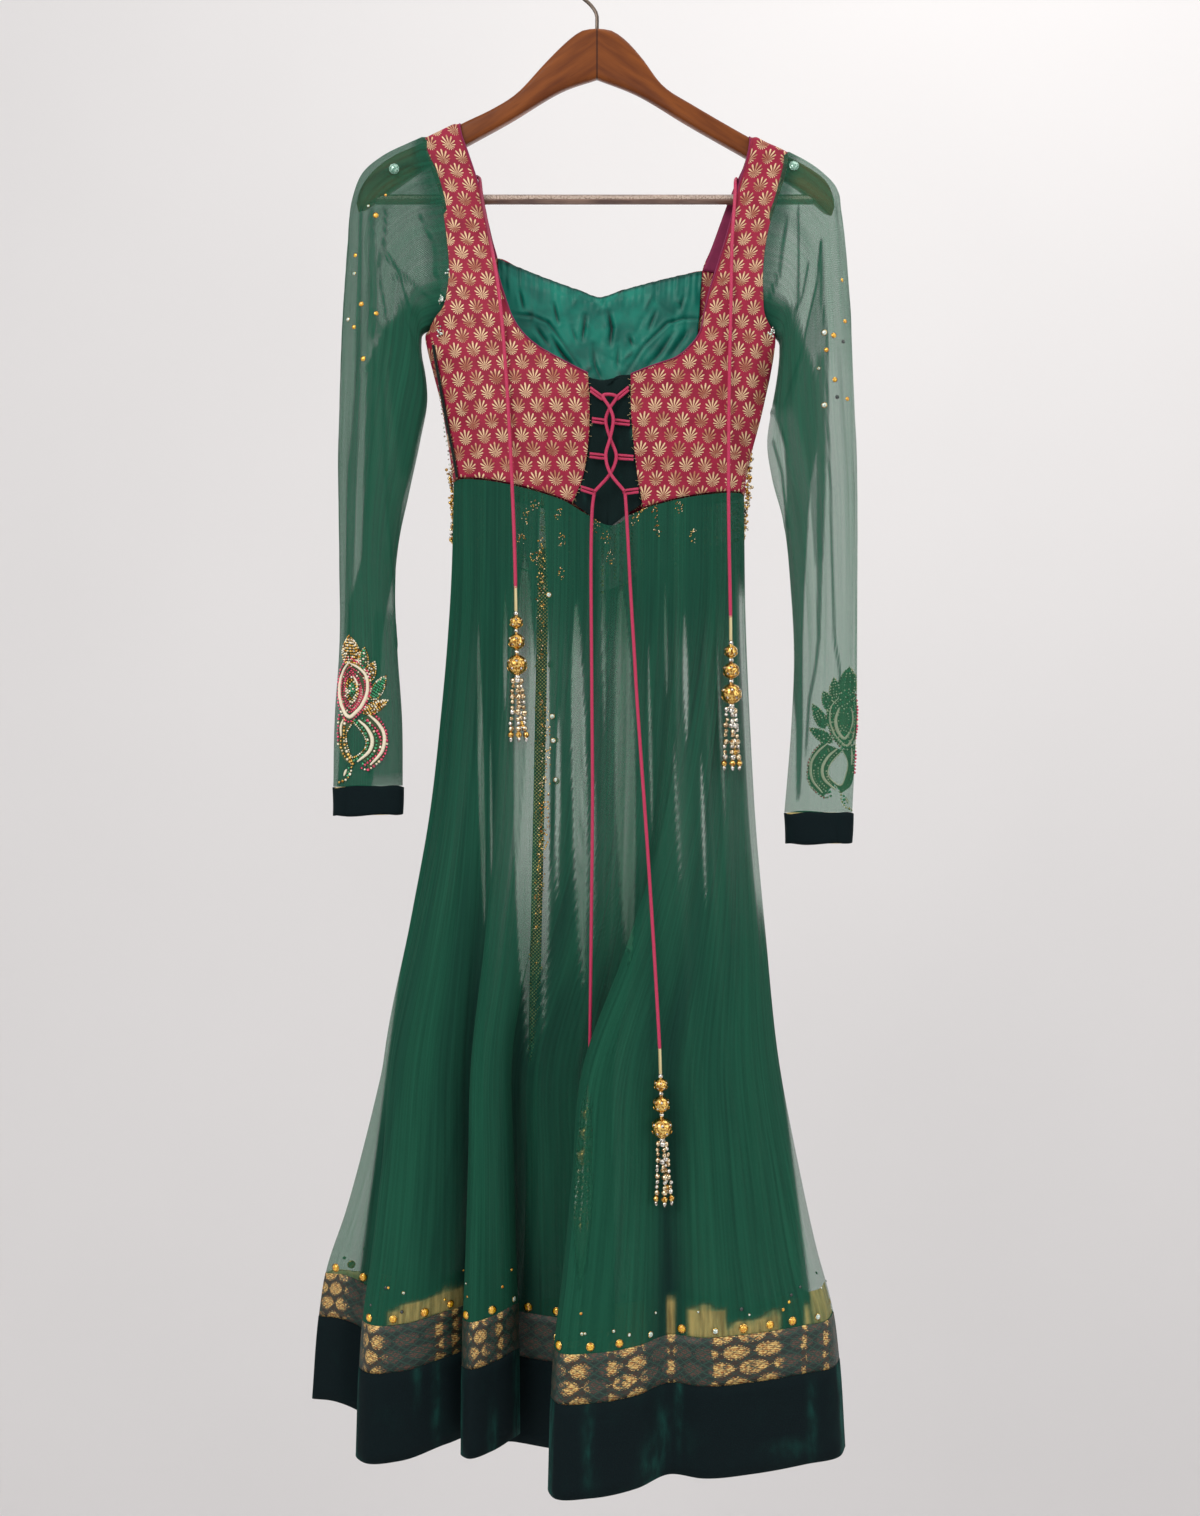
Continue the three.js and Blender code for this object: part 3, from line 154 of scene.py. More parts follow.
# %% Piece: patches of points joined into one mesh
def quads_of(rows, columns, first=0):
    """The point numbers of each cell's corners."""
    index = first + np.arange(rows * columns).reshape(rows, columns)
    return np.stack([index[:-1, :-1], index[:-1, 1:], index[1:, 1:], index[1:, :-1]], axis=-1)


def closed(grid):
    """The grid with its first column again at the end."""
    return np.concatenate([grid, grid[:, :1]], axis=1)


class Piece:
    def __init__(self):
        self.points, self.faces, self.places, self.finishes = [], [], [], []
        self.values = {"fullness": [], "shade": []}
        self.count = 0

    def patch(self, grid, place=None, finish=0, ring=False, keep=None, value=None, shade=None):
        """Adds a grid; `place` is each point's (across, along) on the cloth."""
        grid = np.asarray(grid, dtype=float)
        if ring:
            grid = closed(grid)
        rows, columns = grid.shape[:2]
        if place is None:
            place = laid_flat(grid)
        corners = quads_of(rows, columns, self.count)
        corners = corners[keep] if keep is not None else corners.reshape(-1, 4)
        self.points.append(grid.reshape(-1, 3))
        self.places.append(np.asarray(place, dtype=float).reshape(-1, 2))
        for kind, given in (("fullness", value), ("shade", shade)):
            self.values[kind].append(np.zeros(rows * columns) if given is None else np.ravel(given))
        self.faces.append(corners)
        self.finishes.append(np.full(len(corners), finish))
        self.count += rows * columns
        return self

    def make(self, name, finishes, replaces=(), slot=None):
        """Builds the mesh, with its finishes, on the kurta's one body."""
        mesh = bpy.data.meshes.new(name)
        points, faces = np.vstack(self.points), np.vstack(self.faces)
        mesh.vertices.add(len(points))
        mesh.vertices.foreach_set("co", points.ravel())
        mesh.loops.add(faces.size)
        mesh.loops.foreach_set("vertex_index", faces.ravel())
        mesh.polygons.add(len(faces))
        mesh.polygons.foreach_set("loop_start", np.arange(0, faces.size, 4))
        mesh.polygons.foreach_set("material_index", np.concatenate(self.finishes))
        mesh.polygons.foreach_set("use_smooth", np.ones(len(faces), dtype=bool))
        mesh.uv_layers.new(name="cloth")
        mesh.uv_layers["cloth"].data.foreach_set("uv", np.vstack(self.places)[faces.ravel()].ravel())
        for kind, values in self.values.items():
            mesh.attributes.new(kind, "FLOAT", "POINT").data.foreach_set("value", np.concatenate(values))
        mesh.update()
        mesh.validate()
        welded = bmesh.new()
        welded.from_mesh(mesh)
        bmesh.ops.remove_doubles(welded, verts=welded.verts, dist=2e-6)
        bmesh.ops.dissolve_degenerate(welded, edges=welded.edges, dist=1e-6)
        loose = [vertex for vertex in welded.verts if not vertex.link_faces]
        bmesh.ops.delete(welded, geom=loose, context="VERTS")
        welded.to_mesh(mesh)
        welded.free()
        for finish in finishes:
            mesh.materials.append(finish)
        made = put(name, mesh)
        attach(made, "root")
        if replaces:
            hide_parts(*replaces)
        print(f"{name}: {len(mesh.polygons)} faces")
        return made


# %% Tubes, turned shapes and beads
def laid_flat(grid):
    """Each point's place on the cloth: metres along its rows and columns."""
    across = norm(np.diff(grid, axis=1), axis=2).mean(axis=0)
    along = norm(np.diff(grid, axis=0), axis=2).mean(axis=1)
    u, v = (np.concatenate([[0], np.cumsum(steps)]) for steps in (across, along))
    return np.stack(np.meshgrid(u, v), axis=-1)


def frames_along(path):
    """Two directions square to a path at each point, without twist."""
    tangents = np.gradient(path, axis=0)
    tangents /= norm(tangents, axis=1)[:, None]
    side, sides = np.array((0.0, -1, 0)), []
    for tangent in tangents:
        side = side - tangent * side.dot(tangent)
        if norm(side) < 1e-4:
            side = np.cross(tangent, (1, 0.3, 0.2))
        side = side / norm(side)
        sides.append(side)
    sides = np.array(sides)
    return sides, np.cross(tangents, sides)


def sweep(piece, path, radii, around=10, finish=0, lobes=0, twist=0, lobe_depth=0):
    """Adds a tube along a path. Lobes that turn make it a laid cord."""
    path = np.asarray(path, dtype=float)
    radii = np.broadcast_to(np.asarray(radii, dtype=float), len(path))
    first, second = frames_along(path)
    run = run_along(path)
    angle = np.linspace(0, 2 * pi, around, endpoint=False)
    swell = 1 + lobe_depth * np.cos(lobes * angle[None] + twist * run[:, None])
    reach = (radii[:, None] * swell)[..., None]
    rings = path[:, None] + reach * (np.cos(angle)[None, :, None] * first[:, None]
                                     + np.sin(angle)[None, :, None] * second[:, None])
    u = np.linspace(0, 2 * pi * radii.max(), around + 1)
    piece.patch(rings, place=np.stack(np.meshgrid(u, run), axis=-1), finish=finish, ring=True)


def turned(piece, profile, foot, axis=(0, 0, 1), around=12, finish=0):
    """Adds a turned shape; `profile` is (radius, height) from its foot up."""
    axis = np.array(axis, dtype=float)
    axis /= norm(axis)
    radii, heights = np.array(profile).T
    path = np.array(foot, dtype=float) + heights[:, None] * axis
    side = np.cross(axis, (1, 0, 0) if abs(axis[0]) < 0.9 else (0, 1, 0))
    side /= norm(side)
    other = np.cross(axis, side)
    angle = np.linspace(0, 2 * pi, around, endpoint=False)
    spoke = np.cos(angle)[:, None] * side + np.sin(angle)[:, None] * other
    piece.patch(path[:, None] + radii[:, None, None] * spoke, finish=finish, ring=True)


def bead(piece, centre, radius, finish=0, around=10, squash=1.0, steps=7, axis=(0, 0, 1)):
    """Adds a bead: a rounded outline from rim to rim of its hole, turned."""
    angles = np.linspace(0.02 - pi / 2, pi / 2 - 0.02, steps)
    profile = [(radius * cos(a), radius * squash * sin(a)) for a in angles]
    turned(piece, profile, centre, axis, around, finish)


print("a bead has", len(quads_of(7, 11).reshape(-1, 4)), "faces")


# %% [markdown]
# ## Reading a wall of cloth out of the frame
# In the frame a piece of cloth is a thin wall: two skins of triangles, joined by a rim. Each skin is
# a grid, and fine cloth needs that grid in order. The rim's faces hold an edge as long as the wall
# is thick. On a skin, two triangles that share an edge make a parallelogram, so the grid numbers of
# three corners give the fourth's, and walking from face to face numbers the whole skin. The wall's
# middle lies halfway to the other skin.

# %% The rows and columns of a cloth wall
def numbered_skin(start, rim):
    """Numbers the first face's skin, by the parallelogram rule."""
    numbers = dict(zip(start.verts, ((0, 0), (1, 0), (1, 1))))
    seen, queue = {start}, deque([start])
    while queue:
        face = queue.popleft()
        for edge in face.edges:
            for other in edge.link_faces:
                if other in rim or other in seen:
                    continue
                seen.add(other)
                queue.append(other)
                near, far = (next(v for v in side.verts if v not in edge.verts) for side in (face, other))
                p, q, r = (np.array(numbers[v]) for v in (*edge.verts, near))
                numbers.setdefault(far, tuple(p + q - r))
    return numbers, seen


# %% The grid halfway through a wall
def wall_grid(name):
    """The points halfway through a CAD wall, as rows from the bottom and columns left to right
    as seen from outside; a tube's columns start at its back."""
    solid = bmesh.new()
    solid.from_mesh(nodes[name].data)
    bmesh.ops.remove_doubles(solid, verts=solid.verts, dist=1e-5)
    thick = min(edge.calc_length() for edge in solid.edges)
    rim = {face for face in solid.faces
           if any(abs(edge.calc_length() / thick - 1) < 0.02 for edge in face.edges)}
    skin = [face for face in solid.faces if face not in rim]
    numbers, seen = numbered_skin(skin[0], rim)
    others = [v for v in {v for face in skin for v in face.verts} if v not in numbers]
    tree = kdtree.KDTree(len(others))
    for i, vertex in enumerate(others):
        tree.insert(vertex.co, i)
    tree.balance()

    # Three families of edges: one never lies on a border of flat cloth, and that is the diagonal.
    families = {(1, 0): [], (0, 1): [], (1, 1): []}
    borders = dict.fromkeys(families, 0)
    ring = False
    for edge in {edge for face in seen for edge in face.edges}:
        a, b = edge.verts
        step = tuple(int(n) for n in np.subtract(numbers[b], numbers[a]))
        if step not in families:
            step, a, b = tuple(-n for n in step), b, a
        if step not in families:      # it joins the last column of a tube to the first
            ring = True
            continue
        families[step].append(b.co - a.co)
        borders[step] += sum(face in seen for face in edge.link_faces) == 1

    def mean_length(family):
        return sum(step.length for step in families[family]) / len(families[family])

    def steepness(family):
        return sum(abs(step.z) for step in families[family]) / sum(s.length for s in families[family])

    if ring:
        across = max(borders, key=borders.get)
        up = min((family for family in families if family != across), key=mean_length)
    else:
        diagonal = min(borders, key=borders.get)
        across, up = sorted((f for f in families if f != diagonal), key=steepness)
    if sum(step.z for step in families[up]) < 0:
        up = (-up[0], -up[1])

    # Grid numbers in terms of "across" and "up", with the wall's middle and outward direction.
    to_grid = np.linalg.inv(np.array([across, up]).T)
    cells = {}
    for vertex, number in numbers.items():
        column, row = np.rint(to_grid @ np.array(number)).astype(int)
        partner = min(tree.find_n(vertex.co, 4), key=lambda near: abs(near[2] - thick))[0]
        cells[row, column] = ((vertex.co + partner) / 2, (vertex.co - partner).normalized())
    low = min(row for row, _ in cells)
    height = max(row for row, _ in cells) - low + 1
    if ring:
        around = len(numbers) // height
        cells = {(row, column % around): value for (row, column), value in cells.items()}
    first = min(column for _, column in cells)
    width = max(column for _, column in cells) - first + 1
    middle, outward = np.full((2, height, width, 3), np.nan)
    for (row, column), found in cells.items():
        middle[row - low, column - first], outward[row - low, column - first] = found
    solid.free()

    # Outward is away from a tube's own middle, or from the plane that the hanger lies in.
    centre = np.nanmean(middle, axis=1, keepdims=True) if ring else middle * (1, 0, 1)
    if np.nansum(outward * (middle - centre)) < 0:
        outward = -outward
    right, upward = np.diff(middle, axis=1)[:-1], np.diff(middle, axis=0)[:, :-1]
    if np.nansum(np.cross(right, upward) * outward[:-1, :-1]) < 0:
        middle = middle[:, ::-1]
    if ring:
        middle = np.roll(middle, -int(np.argmax(np.nanmean(middle[..., 1], axis=0))), axis=1)
    print(name, "is a grid of", height, "by", width, "points")
    return middle


# %% [markdown]
# ## From a coarse grid to fine cloth
# The frame's grids have a few points to each fold, and cloth bends in smooth curves. So extra rows
# and columns are laid on Catmull-Rom curves through the points. The points' spacing counts, so that
# a short cell beside a long one does not bulge.

# %% Smooth refinement of rows and columns
def refined_rows(grid, counts, ring=False, corner=None):
    """More rows between the rows of a grid; `counts` says how many for each gap. The cloth's
    edge may turn a sharp corner at the row `corner`, so the curves stop and start there."""
    gaps = len(grid) if ring else len(grid) - 1
    counts = [counts] * gaps if isinstance(counts, int) else list(counts)
    if corner:
        below = refined_rows(grid[:corner + 1], counts[:corner])
        return np.concatenate([below[:-1], refined_rows(grid[corner:], counts[corner:])])
    if ring:
        knots = np.concatenate([grid[-1:], grid, grid[:2]])
    else:
        knots = np.concatenate([2 * grid[:1] - grid[1:2], grid, 2 * grid[-1:] - grid[-2:-1]])
    length = np.maximum(norm(np.diff(knots, axis=0), axis=-1, keepdims=True), 1e-7)
    steps = np.diff(knots, axis=0) / length
    slopes = ((steps[:-1] * length[1:] + steps[1:] * length[:-1]) / (length[:-1] + length[1:]))
    rows = []
    for i, count in enumerate(counts):
        start, end, reach = knots[i + 1], knots[i + 2], length[i + 1]
        for t in np.arange(count) / count:
            rows.append((2 * t**3 - 3 * t**2 + 1) * start + (3 * t**2 - 2 * t**3) * end
                        + reach * ((t**3 - 2 * t**2 + t) * slopes[i] + (t**3 - t**2) * slopes[i + 1]))
    if not ring:
        rows.append(knots[-2])
    return np.array(rows)


def refined(grid, rows, columns, ring=False, corner=None):
    """A grid with `rows` and `columns` new cells for each old one."""
    finer = refined_rows(grid, rows, corner=corner)
    return refined_rows(finer.swapaxes(0, 1), columns, ring).swapaxes(0, 1)


def outward_of(grid, ring=False):
    """The unit direction out of a grid at each point."""
    wide = np.concatenate([grid[:, -1:], grid, grid[:, :1]], axis=1) if ring else grid
    normal = np.cross(np.gradient(wide, axis=1), np.gradient(wide, axis=0))
    normal /= np.maximum(norm(normal, axis=2, keepdims=True), 1e-12)
    return normal[:, 1:-1] if ring else normal


def pushed(grid, lift, ring=False):
    """The grid, each point moved outwards by its own lift."""
    return grid + outward_of(grid, ring) * lift[..., None]


def bell(distance, width):
    return np.exp(-(distance / width) ** 2)


def eased(value, low, high):
    """0 below low, 1 above high, and a smooth rise between them."""
    share = np.clip((value - low) / (high - low), 0, 1)
    return share * share * (3 - 2 * share)


def in_mm(grid):
    return grid[..., 0] / MM, grid[..., 2] / MM


print("a row of 3 points, 4 cells to a gap, has", len(refined_rows(np.eye(3), 4)), "points")


# %% [markdown]
# ## Finishes are written as arithmetic
# Every pattern is worked out from the place on the cloth. In Blender that takes Math nodes, and
# wiring them one by one hides the idea. A `Field` is a number that changes over the surface, and
# adding or multiplying fields adds the node. A `Finish` holds the material and its shader.

# %% Dye and Field
def dye(red, green, blue):
    """A screen colour, 0 to 255, as the linear colour a shader wants."""
    def linear(value):
        value /= 255
        return value / 12.92 if value <= 0.04045 else ((value + 0.055) / 1.055) ** 2.4
    return (linear(red), linear(green), linear(blue), 1)


class Field:
    def __init__(self, finish, socket):
        self.finish, self.socket = finish, socket

    def math(self, operation, *others):
        return self.finish.add("Math", dict(enumerate((self, *others))), operation=operation)

    def __add__(self, other):
        return self.math("ADD", other)

    def __sub__(self, other):
        return self.math("SUBTRACT", other)

    def __rsub__(self, other):
        return (self * -1) + other

    def __mul__(self, other):
        return self.math("MULTIPLY", other)

    def __truediv__(self, other):
        return self.math("DIVIDE", other)

    __radd__, __rmul__ = __add__, __mul__

    def above(self, low, high):
        """0 where the field is under low, 1 over high, smooth between."""
        return self.finish.add("MapRange", {"Value": self, "From Min": low, "From Max": high},
                               "Result", interpolation_type="SMOOTHSTEP")

    def below(self, low, high):
        return 1 - self.above(low, high)

    def wave(self, length):
        """A smooth wave between 0 and 1 with the given length."""
        return (self * (2 * pi / length)).math("SINE") * 0.5 + 0.5

    def within(self, length):
        """How far a place is from the middle of its repeat."""
        return ((self / length).math("FRACT") - 0.5) * length


# %% Finish
class Finish:
    def __init__(self, name, colour=(0.5, 0.5, 0.5, 1), **sockets):
        self.material = bpy.data.materials.new(name)
        self.material.use_nodes = True
        self.tree = self.material.node_tree
        self.shader = self.tree.nodes["Principled BSDF"]
        self.set(Base_Color=colour, **sockets)

    def feed(self, socket, value):
        """Gives a socket a number or a colour, or links a field to it."""
        if isinstance(value, Field):
            self.tree.links.new(value.socket, socket)
        else:
            socket.default_value = value

    def set(self, **sockets):
        """Sets the shader's sockets, named with _ for a space."""
        for name, value in sockets.items():
            self.feed(self.shader.inputs[name.replace("_", " ")], value)
        return self

    def add(self, kind, inputs, output=0, **settings):
        """Adds a node with its settings and inputs; returns an output as a field."""
        node = self.tree.nodes.new("ShaderNode" + kind)
        for name, value in settings.items():
            setattr(node, name, value)
        for slot, value in inputs.items():
            self.feed(node.inputs[slot], value)
        return Field(self, node.outputs[output])

    def parts(self, vector, count):
        """The first parts of a vector, in millimetres."""
        outputs = self.add("SeparateXYZ", {0: vector}).socket.node.outputs
        return [Field(self, outputs[i]) * 1000 for i in range(count)]

    def place(self):
        """Across and along the cloth, in millimetres."""
        return self.parts(self.add("UVMap", {}, "UV", uv_map="cloth"), 2)

    def spot(self):
        """The place in space, in millimetres."""
        return self.parts(self.add("TexCoord", {}, "Object"), 3)

    def value(self, name):
        """A number stored at each point of the mesh."""
        return self.add("Attribute", {}, "Fac", attribute_name=name)

    def clouds(self, vector, detail):
        return self.add("TexNoise", {"Scale": 1.0, "Detail": detail, "Vector": vector}, "Fac")

    def noise(self, size, stretch=1.0, detail=2.0, x=None, y=None, shift=0.0):
        """Clouds about `size` mm across, `stretch` times as long along the cloth."""
        if x is None:
            x, y = self.place()
        vector = {0: x * (1 / size) + shift, 1: y * (1 / (size * stretch)), 2: shift}
        return self.clouds(self.add("CombineXYZ", vector), detail)

    def solid_noise(self, size, stretch=(1, 1, 1), detail=2.0):
        """Clouds in space instead of on the cloth, about `size` mm across."""
        scale = [1000 / (size * s) for s in stretch]
        place = self.add("TexCoord", {}, "Object")
        return self.clouds(self.add("Mapping", {"Vector": place, "Scale": scale}), detail)

    def blend(self, share, first, second):
        """From the first colour to the second as the field goes from 0 to 1."""
        return self.add("Mix", {"Factor": share, 6: first, 7: second}, 2, data_type="RGBA")

    def relief(self, height, depth, strength=1.0):
        """Bump: the field's 0 to 1 stands `depth` millimetres high."""
        bump = {"Strength": strength, "Distance": depth * MM, "Height": height}
        return self.set(Normal=self.add("Bump", bump)).done()

    def done(self):
        print("finish", self.material.name, "has", len(self.tree.nodes), "nodes")
        return self.material


print("middle grey as linear light:", round(dye(128, 128, 128)[0], 3))


# %% [markdown]
# ## Net
# Net is mostly holes, too small to build, so its mesh is given by transparency: one layer hides a
# bit under half of what lies behind it, and each further layer the same share of the rest. Gathers
# pack several widths into one, so each point carries its `fullness`, the layers it stands for. The
# threads show as a diamond mesh, and as streaks along the folds. Shaders do not find the light that
# is lost between folds of see-through cloth, so each point also carries a `shade`.

# %% Green net
ONE_LAYER = 0.44
MESH = 1.3                    # millimetres from one hole of the net to the next


def green_net():
    finish = Finish("green_net", dye(28, 80, 60), Roughness=0.85, Specular_IOR_Level=0.1,
                    Sheen_Weight=0.06, Sheen_Roughness=0.45, Sheen_Tint=dye(120, 190, 160))
    x, y = finish.place()
    threads = (x + y).wave(MESH) * (x - y).wave(MESH)
    streaks = finish.noise(5, stretch=45, detail=3)
    grain = finish.noise(1.7, detail=1)
    clouds = finish.noise(60, stretch=3)
    fullness = finish.value("fullness")
    pleats = finish.noise(2.4, stretch=70, detail=1)
    layers = (fullness * (0.56 + streaks * 0.34 + pleats * 0.5) * (1.18 - threads * 0.72)
              * (0.8 + grain * 0.4))
    finish.set(Alpha=1 - (layers * math.log(1 - ONE_LAYER)).math("EXPONENT"))
    tone = streaks.above(0.25, 0.8) * 0.45 + pleats.above(0.3, 0.7) * 0.3 + grain * 0.25
    # Painted light and shade: thin net is painted a lighter green, and the net is painted darker in recesses between
    # folds (the `shade` value) and where it is fuller; the clouds add random tone.
    lit = finish.blend(tone, dye(18, 66, 50), dye(32, 92, 70))
    lit = finish.blend(fullness.below(0.9, 2.4), lit, finish.blend(tone, dye(34, 98, 72), dye(54, 128, 96)))
    dark = finish.blend(tone, dye(10, 36, 32), dye(20, 52, 46))
    painted_shade_and_tone = (finish.value("shade") + (clouds - 0.5) * 0.5 + fullness * 0.045 - 0.2).above(0.0, 1.0)
    finish.set(Base_Color=finish.blend(painted_shade_and_tone, lit, dark))
    return finish.relief(threads * 0.5 + grain * 0.5, 0.15, 0.5)


NET = green_net()

# %% [markdown]
# ## Brocade, velvet and the other cloths
# A brocade's gold figure is woven in, so it repeats exactly. The palmette is drawn from polar
# coordinates: the angle from its foot says which petal a place is in, the distance whether it is
# past the tip. A second copy, half a repeat away, makes the half drop. Velvet is dark face on and
# light at a grazing angle, which is what the sheen lobe does.

# %% Crimson brocade with gold palmettes
REPEAT = (17.4, 26.4)         # millimetres across and along between palmettes of one row
PETAL_GAP = 0.48              # radians from one petal of the fan to the next


def palmette(x, y):
    """(gold, leaf): drop-shaped petals fan out over a dark pointed leaf."""
    across, up = x.math("ABSOLUTE"), y + 2.4
    reach = (x * x + up * up).math("SQRT")
    angle = across.math("ARCTAN2", up)
    lean = angle.math("COSINE") + 1
    off = ((angle - (angle / PETAL_GAP).math("ROUND") * PETAL_GAP).math("SINE") * reach).math("ABSOLUTE")
    share = reach / (lean * lean * 1.45 + 4.4)
    tip = (1 - share.math("POWER", 5.0)).math("MAXIMUM", 0.0).math("SQRT")
    petals = (reach * tip * 0.115 + 0.04 - off).above(-0.06, 0.1) * share.below(0.97, 1.0)
    return petals * share.above(0.02, 0.1), share.below(0.72, 0.9)


def crimson_brocade():
    finish = Finish("crimson_brocade", Roughness=0.5, Specular_IOR_Level=0.3,
                    Sheen_Weight=0.04, Sheen_Roughness=0.4, Sheen_Tint=dye(230, 120, 130))
    x, y = finish.place()
    wobble = finish.noise(40, detail=1)
    x, y = x + wobble * 1.2, y + wobble * 1.0
    figures = [palmette((x + dx).within(REPEAT[0]), (y + dy).within(REPEAT[1]))
               for dx, dy in ((0, 0), (REPEAT[0] / 2, REPEAT[1] / 2))]
    figure, leaf = (figures[0][k].math("MAXIMUM", figures[1][k]) for k in (0, 1))
    floats = y.wave(0.62)
    bright_patches = finish.noise(13, detail=2)
    thread = finish.noise(1.1, stretch=0.3, detail=2)
    gold = finish.blend(bright_patches.above(0.34, 0.60), dye(178, 116, 84), dye(238, 204, 160))
    gold = finish.blend(thread.above(0.45, 0.85), gold, dye(140, 72, 62))
    twill = (x + y * 0.6).wave(0.55)
    ground = finish.blend(twill * 0.5 + thread * 0.5, dye(112, 8, 38), dye(184, 34, 70))
    ground = finish.blend(finish.noise(22).above(0.35, 0.75), ground, dye(134, 14, 46))
    ground = finish.blend(leaf * 0.75, ground, dye(104, 24, 36))
    finish.set(Base_Color=finish.blend(figure, ground, gold), Metallic=figure * 0.15,
               Roughness=0.62 - figure * 0.14)
    return finish.relief(figure * 0.7 + floats * 0.2 + twill * 0.1, 0.16, 0.8)


BROCADE = crimson_brocade()


# %% Hem brocade: rows of pointed shells in metal thread, seen through the net that is laid over it
SHELL = (21.0, 14.2)          # millimetres from shell to shell along a row, and from row to row


def shell(x, y):
    """(filled, outline) of a drop that points to the right, in its own repeat."""
    tip = (x + SHELL[0] * 0.42) / (SHELL[0] * 0.86)
    belly = (tip * (1 - tip).math("MAXIMUM", 0.0)).math("MAXIMUM", 0.0)
    half = belly.math("POWER", 0.55) * (1.12 - tip * 0.34) * SHELL[1] * 0.98
    edge = half - y.math("ABSOLUTE")
    return edge.above(0.5, 1.1), edge.above(-0.8, -0.3) * edge.below(0.1, 0.6)


def hem_brocade():
    finish = Finish("hem_brocade", Roughness=0.36, Specular_IOR_Level=0.5)
    x, y = finish.place()
    x = x + finish.noise(30, detail=1) * 2.0
    drops = [shell((x + dx).within(SHELL[0]), (y + dy).within(SHELL[1] * 2))
             for dx, dy in ((0, 0), (SHELL[0] / 2, SHELL[1]))]
    filled, outline = (drops[0][k].math("MAXIMUM", drops[1][k]) for k in (0, 1))
    dots = ((x * 0.7 + y).wave(2.1) * (x * 0.7 - y).wave(2.1)).above(0.12, 0.4)
    hatch = (y + x * 0.25).wave(1.9).above(0.2, 0.75)
    gleam = finish.value("shade") + finish.noise(6, detail=2) * 1.1 + finish.noise(1.5) * 0.8 - 0.95
    gleam = gleam.above(0.3, 0.75)
    flecks = finish.noise(1.9, detail=2).above(0.42, 0.58)
    gold = finish.blend(gleam, dye(104, 64, 52), dye(255, 222, 140))
    gold = finish.blend(hatch * 0.4 + flecks * 0.6, gold, finish.blend(gleam, dye(30, 44, 36), dye(150, 78, 28)))
    ground = finish.blend(gleam, dye(14, 32, 28), dye(52, 38, 26))
    weave = finish.blend((filled * 0.9).math("MAXIMUM", outline * dots), ground, gold)
    rising, falling = (slant.wave(6.4).above(0.86, 0.97) for slant in (x * 0.75 + y, x * 0.75 - y))
    lattice = rising.math("MAXIMUM", falling)
    veil = lattice * (0.9 - gleam * 0.35) + (1 - gleam) * 0.1
    finish.set(Base_Color=finish.blend(veil, weave, dye(24, 62, 50)),
               Metallic=filled * gleam * 0.4 * (1 - lattice * 0.7),
               Roughness=0.5 - gleam * 0.14)
    return finish.relief(filled * 0.5 + hatch * 0.3 + lattice * 0.4, 0.3, 0.9)


HEM_BROCADE = hem_brocade()


# %% Velvet, satin, tissue and plain cloths
def velvet(name, dark, light, sheen):
    finish = Finish(name, dark, Roughness=0.85, Specular_IOR_Level=0.1, Sheen_Weight=0.5,
                    Sheen_Roughness=0.25, Sheen_Tint=sheen)
    pile = finish.noise(0.9, detail=3)
    brushed = finish.noise(26, stretch=2.2, detail=3)
    crushed = finish.noise(7, stretch=3, detail=2)
    # The clouds lighten the pile in random streaks and flecks. The `shade` value is painted sheen: the velvet is
    # painted lighter where the points carry it, broken up by the crushed clouds.
    pile_marks_and_painted_sheen = (brushed.above(0.5, 0.9) * 0.08 + pile.above(0.3, 0.9) * 0.07
             + finish.value("shade") * (0.12 + crushed.above(0.35, 0.7) * 0.5))
    finish.set(Base_Color=finish.blend(pile_marks_and_painted_sheen * (0.5 + pile * 0.8), dark, light))
    return finish.relief(pile, 0.35, 0.7)


def satin(name, shade, deep, bright):
    """Thin satin; `fullness` is painted shade, which darkens it towards the `shade` colour."""
    finish = Finish(name, deep, Roughness=0.42, Specular_IOR_Level=0.28, Anisotropic=0.3)
    x, _ = finish.place()
    slubs = finish.noise(1.4, stretch=0.08, detail=2)
    cloud = finish.noise(24, detail=2)
    cloth = finish.blend(cloud.above(0.3, 0.7) * 0.6 + slubs * 0.4, deep, bright)
    finish.set(Base_Color=finish.blend(finish.value("fullness"), cloth, shade))
    return finish.relief(slubs * 0.6 + x.wave(0.5) * 0.4, 0.08, 0.6)


def tissue(name, dull, bright, metallic=0.75):
    """Cloth with a flat metal thread: ribbed, and bright in the light."""
    finish = Finish(name, dull, Roughness=0.38, Specular_IOR_Level=0.5)
    x, _ = finish.place()
    rib = x.wave(1.1)
    crinkle = finish.noise(5, stretch=9, detail=3)
    finish.set(Base_Color=finish.blend(rib * 0.4 + crinkle.above(0.3, 0.7) * 0.6, dull, bright),
               Metallic=metallic, Roughness=0.30 + crinkle * 0.24)
    return finish.relief(rib * 0.4 + crinkle * 0.6, 0.5, 0.9)


def plain_cloth(name, dark, light, thread=0.6, roughness=0.75):
    finish = Finish(name, dark, Roughness=roughness, Specular_IOR_Level=0.3, Sheen_Weight=0.2,
                    Sheen_Roughness=0.4, Sheen_Tint=light)
    x, y = finish.place()
    weave = x.wave(thread) * 0.5 + y.wave(thread) * 0.5
    finish.set(Base_Color=finish.blend(weave * 0.5 + finish.noise(9) * 0.5, dark, light))
    return finish.relief(weave, 0.1, 0.7)


